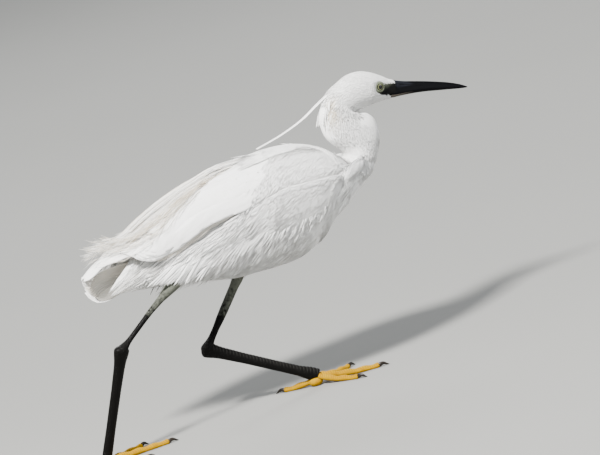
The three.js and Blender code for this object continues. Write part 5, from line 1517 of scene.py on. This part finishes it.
# Feet. Four long toes from a flat ball, in bright yellow scaly skin with scutes on top, a swelling at
# each joint and soft pads below, and a dark curved claw on each.
TOES = (                        # turn, length, half width, joints
    (162, 33, 3.0, 2), (-29, 46, 2.9, 3), (0, 62, 3.1, 4), (46, 48, 2.9, 4),
)
BALL_REACH, BALL_WIDE, BALL_DEEP, BALL_MOST = 6.9, 6.3, 4.6, 4.5      # half sizes, and the most upwards
TOE_FLAT, TOE_TAPER, TOE_SWELL, TOE_SCUTE = 0.35, 0.22, 0.10, 2.2
TOE_ROOT_RISE, TOE_ROOT_FALL = {"right": 1.6, "left": 8.5}, 2.6
FRONT_TOE_FROM = {"right": 0.03, "left": 0.11}      # where the front toes come out of the ball
HIND_TOE_FROM, HIND_TOE_RISE = 0.03, 0.5
FLOOR_GAP = 0.02
CLAW_LENGTH, CLAW_SUNK, CLAW_RADIUS, CLAW_POINT, CLAW_ARCH, CLAW_DROP = 9.6, 0.8, 2.1, 0.16, 1.0, 1.75
TOE_YELLOW, TOE_ORANGE = colour(0.37, 0.215, 0.0), colour(0.33, 0.155, 0.0)
TOE_OLIVE = colour(0.085, 0.055, 0.0)

toe_look, node, shader = material("toe_skin_yellow", 0.5, gloss=0.04)
patchy = mix(node, ramp(node, spots(node, 4.0), {0.35: BLACK, 0.7: WHITE}), TOE_YELLOW, TOE_ORANGE)
small_scales = scales(node, 1.5)
seams = worked(node, "MULTIPLY", worked(node, "SUBTRACT", 1.0, small_scales, use_clamp=True), 0.45)
creased = worked(node, "MULTIPLY", attribute(node, "crease"), 0.75)
wire(shader, Base_Color=mix(node, creased, mix(node, seams, patchy, TOE_ORANGE), TOE_OLIVE),
     Roughness=node("ShaderNodeMapRange", Value=spots(node, 1.0), To_Min=0.36, To_Max=0.6).outputs[0],
     Normal=raised(node, small_scales, 0.14))
claw_look, node, shader = material("claw_horn", 0.3, gloss=0.2)
wire(shader, Base_Color=ramp(node, spots(node, 2.0), {0.3: colour(0.006, 0.005, 0.004),
                                                      0.8: colour(0.03, 0.023, 0.017)}),
     Normal=raised(node, spots(node, 0.6, stretch=(1, 1, 0.3)), 0.05))


def on_floor(piece):
    """Flattens what would reach below the floor."""
    points = np.empty(len(piece.data.vertices) * 3)
    piece.data.vertices.foreach_get("co", points)
    points[2::3] = np.maximum(points[2::3], FLOOR_GAP * MM)
    piece.data.vertices.foreach_set("co", points)


def from_foot(foot, way, along, level):
    """A path over the floor from the middle of a foot."""
    return np.stack([foot[0] + way[0] * along, foot[1] + way[1] * along, level + 0 * along], 1)


for word, (side, knee, ankle, foot, heading, cuff) in LEGS.items():
    turn = math.radians(heading)
    across = np.cos(np.pi * (1 - np.linspace(0, 1, 25)))
    size = np.sqrt(np.clip(1 - across ** 2, 0.01, 1))
    path = from_foot(foot, (math.cos(turn), math.sin(turn)), BALL_REACH * across, PAD_LEVEL)
    deep = np.minimum(BALL_MOST, BALL_DEEP * size)
    ball = limb(f"foot_ball_{word}", path, BALL_WIDE * size, deep, UPWARDS, toe_look, 36)
    on_floor(ball)
    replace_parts(ball, f"foot_{word}")
    for n, (toe_turn, toe_length, toe_radius, joints) in enumerate(TOES):
        turn = math.radians(heading + (toe_turn if side == LEFT else -toe_turn))
        way = (math.cos(turn), math.sin(turn))
        f = np.linspace(FRONT_TOE_FROM[word] if n else HIND_TOE_FROM, 1, int(toe_length / 0.32))
        lying = toe_radius * (1 - TOE_TAPER * f) * (1 + TOE_SWELL * np.cos(2 * np.pi * f * joints))
        size = lying * np.sqrt(np.clip((1 - f) * toe_length / 1.6, 0.25, 1))
        root_rise = TOE_ROOT_RISE[word] * (1 - f) ** TOE_ROOT_FALL * (1 if n else HIND_TOE_RISE)
        path = from_foot(foot, way, toe_length * f, lying - TOE_FLAT + root_rise)
        toe = limb(f"toe_{word}_{n + 1}_skin", path, size * 1.05, size, UPWARDS, toe_look, 28,
                   scuted(TOE_SCUTE, 0.22, 0.9, 1.5))
        on_floor(toe)
        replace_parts(toe, f"toe_{word}_{n + 1}")

        g = np.linspace(0, 1, 22)
        size = CLAW_POINT + (CLAW_RADIUS - CLAW_POINT) * (1 - g ** 1.6)
        level = CLAW_RADIUS + 0.1 + CLAW_ARCH * np.sin(np.pi * np.minimum(1, g * 1.25)) - CLAW_DROP * g * g
        path = from_foot(foot, way, toe_length - CLAW_SUNK + CLAW_LENGTH * g, level)
        claw = limb(f"claw_{word}_{n + 1}_horn", path, size * 0.78, size, UPWARDS, claw_look, 18)
        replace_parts(claw, f"claw_{word}_{n + 1}")

# Thighs. Short soft feathers that close round each leg where it leaves the belly.
THIGH_TOP, THIGH_MIDDLE, THIGH_END = 30, 18, 9      # up the leg from where its feathers end
THIGH_GIRTH, THIGH_LOCKS = (8.0, 7.6, 6.4), (9, 5)
THIGH_FORWARD = {"right": 4.8, "left": 0}
THIGH_WHITE, THIGH_SHADE = colour(0.88, 0.875, 0.855), colour(0.74, 0.735, 0.71)
thigh_look, node, shader = material("thigh_feathers", 0.85, under=0.05)
wire(shader, Base_Color=mix(node, attribute(node, "shade"), THIGH_WHITE, THIGH_SHADE))
for word, (side, knee, ankle, foot, heading, cuff) in LEGS.items():
    knee, ankle = np.array(knee, float), np.array(ankle, float)
    shin = unit(ankle - knee)
    s = np.linspace(cuff - THIGH_TOP, cuff - THIGH_END, 24)
    turn = np.linspace(2 * np.pi, 0, 40)
    across = unit(np.cross(shin, SIDEWAYS))
    girth = np.interp(s, [cuff - THIGH_TOP, cuff - THIGH_MIDDLE, cuff - THIGH_END], THIGH_GIRTH)
    axis = knee + shin * s[:, None]
    axis[:, 0] += THIGH_FORWARD[word]
    ring = np.cos(turn)[:, None] * across + np.sin(turn)[:, None] * np.cross(across, shin)
    points = axis[:, None] + girth[:, None, None] * ring[None]
    thigh_skin = limb(f"thigh_{word}_skin", axis, girth - 0.4, girth - 0.4, SIDEWAYS, skin_look, 32)
    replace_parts(thigh_skin, f"thigh_{word}")
    length = np.interp(s, [cuff - THIGH_TOP, cuff - THIGH_END], THIGH_LOCKS)[:, None] + 0 * turn
    ground = ground_of(points, np.broadcast_to(shin, points.shape), stack(length, 0.9, 0.7), 0.08, 1.8)
    lay_coat(f"coat_thigh_{word}", ground, thigh_look, 31 + side)

# Floor, lights and camera. A plain pale floor under soft studio light, and a long lens, rolled so that the
# bird walks uphill in the picture.
FLOOR_HALF, FLOOR_PATCHES = 30, 900
FLOOR_GREY, FLOOR_LIGHT = colour(0.21, 0.21, 0.20), colour(0.225, 0.225, 0.214)
floor_look, node, shader = material("pale_floor", 0.9)
wire(shader, Base_Color=ramp(node, spots(node, FLOOR_PATCHES), {0.3: FLOOR_GREY, 0.8: FLOOR_LIGHT}))
floor_mesh = bpy.data.meshes.new("floor")
floor_corners = [(x * FLOOR_HALF, y * FLOOR_HALF, 0) for x, y in ((-1, -1), (1, -1), (1, 1), (-1, 1))]
floor_mesh.from_pydata(floor_corners, [], [(0, 1, 2, 3)])
floor_mesh.materials.append(floor_look)
floor = bpy.data.objects.new("floor", floor_mesh)
bpy.context.scene.collection.objects.link(floor)
floor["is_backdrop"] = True

CAMERA_AT = Vector((-1761 * MM + SHIFT_X, -5623.9 * MM, 1298.4 * MM))
CAMERA_RIGHT = Vector((0.8951, -0.3478, -0.2788))
CAMERA_UP = Vector((0.3266, 0.0862, 0.9412))
FOCAL_PIXELS, PICTURE_WIDTH, SENSOR = 6451.6, 600, 36


def soft_light(name, place, aim, power, size, tint=(1, 1, 1)):
    lamp = bpy.data.lights.new(name, "AREA")
    lamp.energy, lamp.size, lamp.color = power, size, tint
    light = bpy.data.objects.new(name, lamp)
    light.location = place
    light.rotation_euler = (Vector(aim) - Vector(place)).to_track_quat("-Z", "Y").to_euler()
    bpy.context.scene.collection.objects.link(light)


soft_light("key", (-1.5, -1.6, 2.9), (0, 0, 0.18), 540, 0.5, (1.0, 0.985, 0.96))
soft_light("fill", (2.0, -2.2, 1.0), (0, 0, 0.18), 30, 1.6, (0.95, 0.97, 1.0))
soft_light("back", (0.6, 2.2, 1.8), (0, 0, 0.2), 50, 1.2)

world = bpy.data.worlds.new("studio")
world.use_nodes = True
world.node_tree.nodes["Background"].inputs["Color"].default_value = (0.9, 0.95, 1.0, 1)
world.node_tree.nodes["Background"].inputs["Strength"].default_value = 0.66
bpy.context.scene.world = world

lens = bpy.data.cameras.new("camera")
lens.sensor_width = SENSOR
lens.sensor_fit = "HORIZONTAL"
lens.lens = FOCAL_PIXELS * SENSOR / PICTURE_WIDTH
lens.clip_start, lens.clip_end = 0.1, 100
camera = bpy.data.objects.new("camera", lens)
back = CAMERA_RIGHT.cross(CAMERA_UP).normalized()
upright = back.cross(CAMERA_RIGHT).normalized()
turned = Matrix((CAMERA_RIGHT, upright, back)).transposed().to_4x4()
camera.matrix_world = Matrix.Translation(CAMERA_AT) @ turned
bpy.context.scene.collection.objects.link(camera)
bpy.context.scene.camera = camera

low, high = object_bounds()
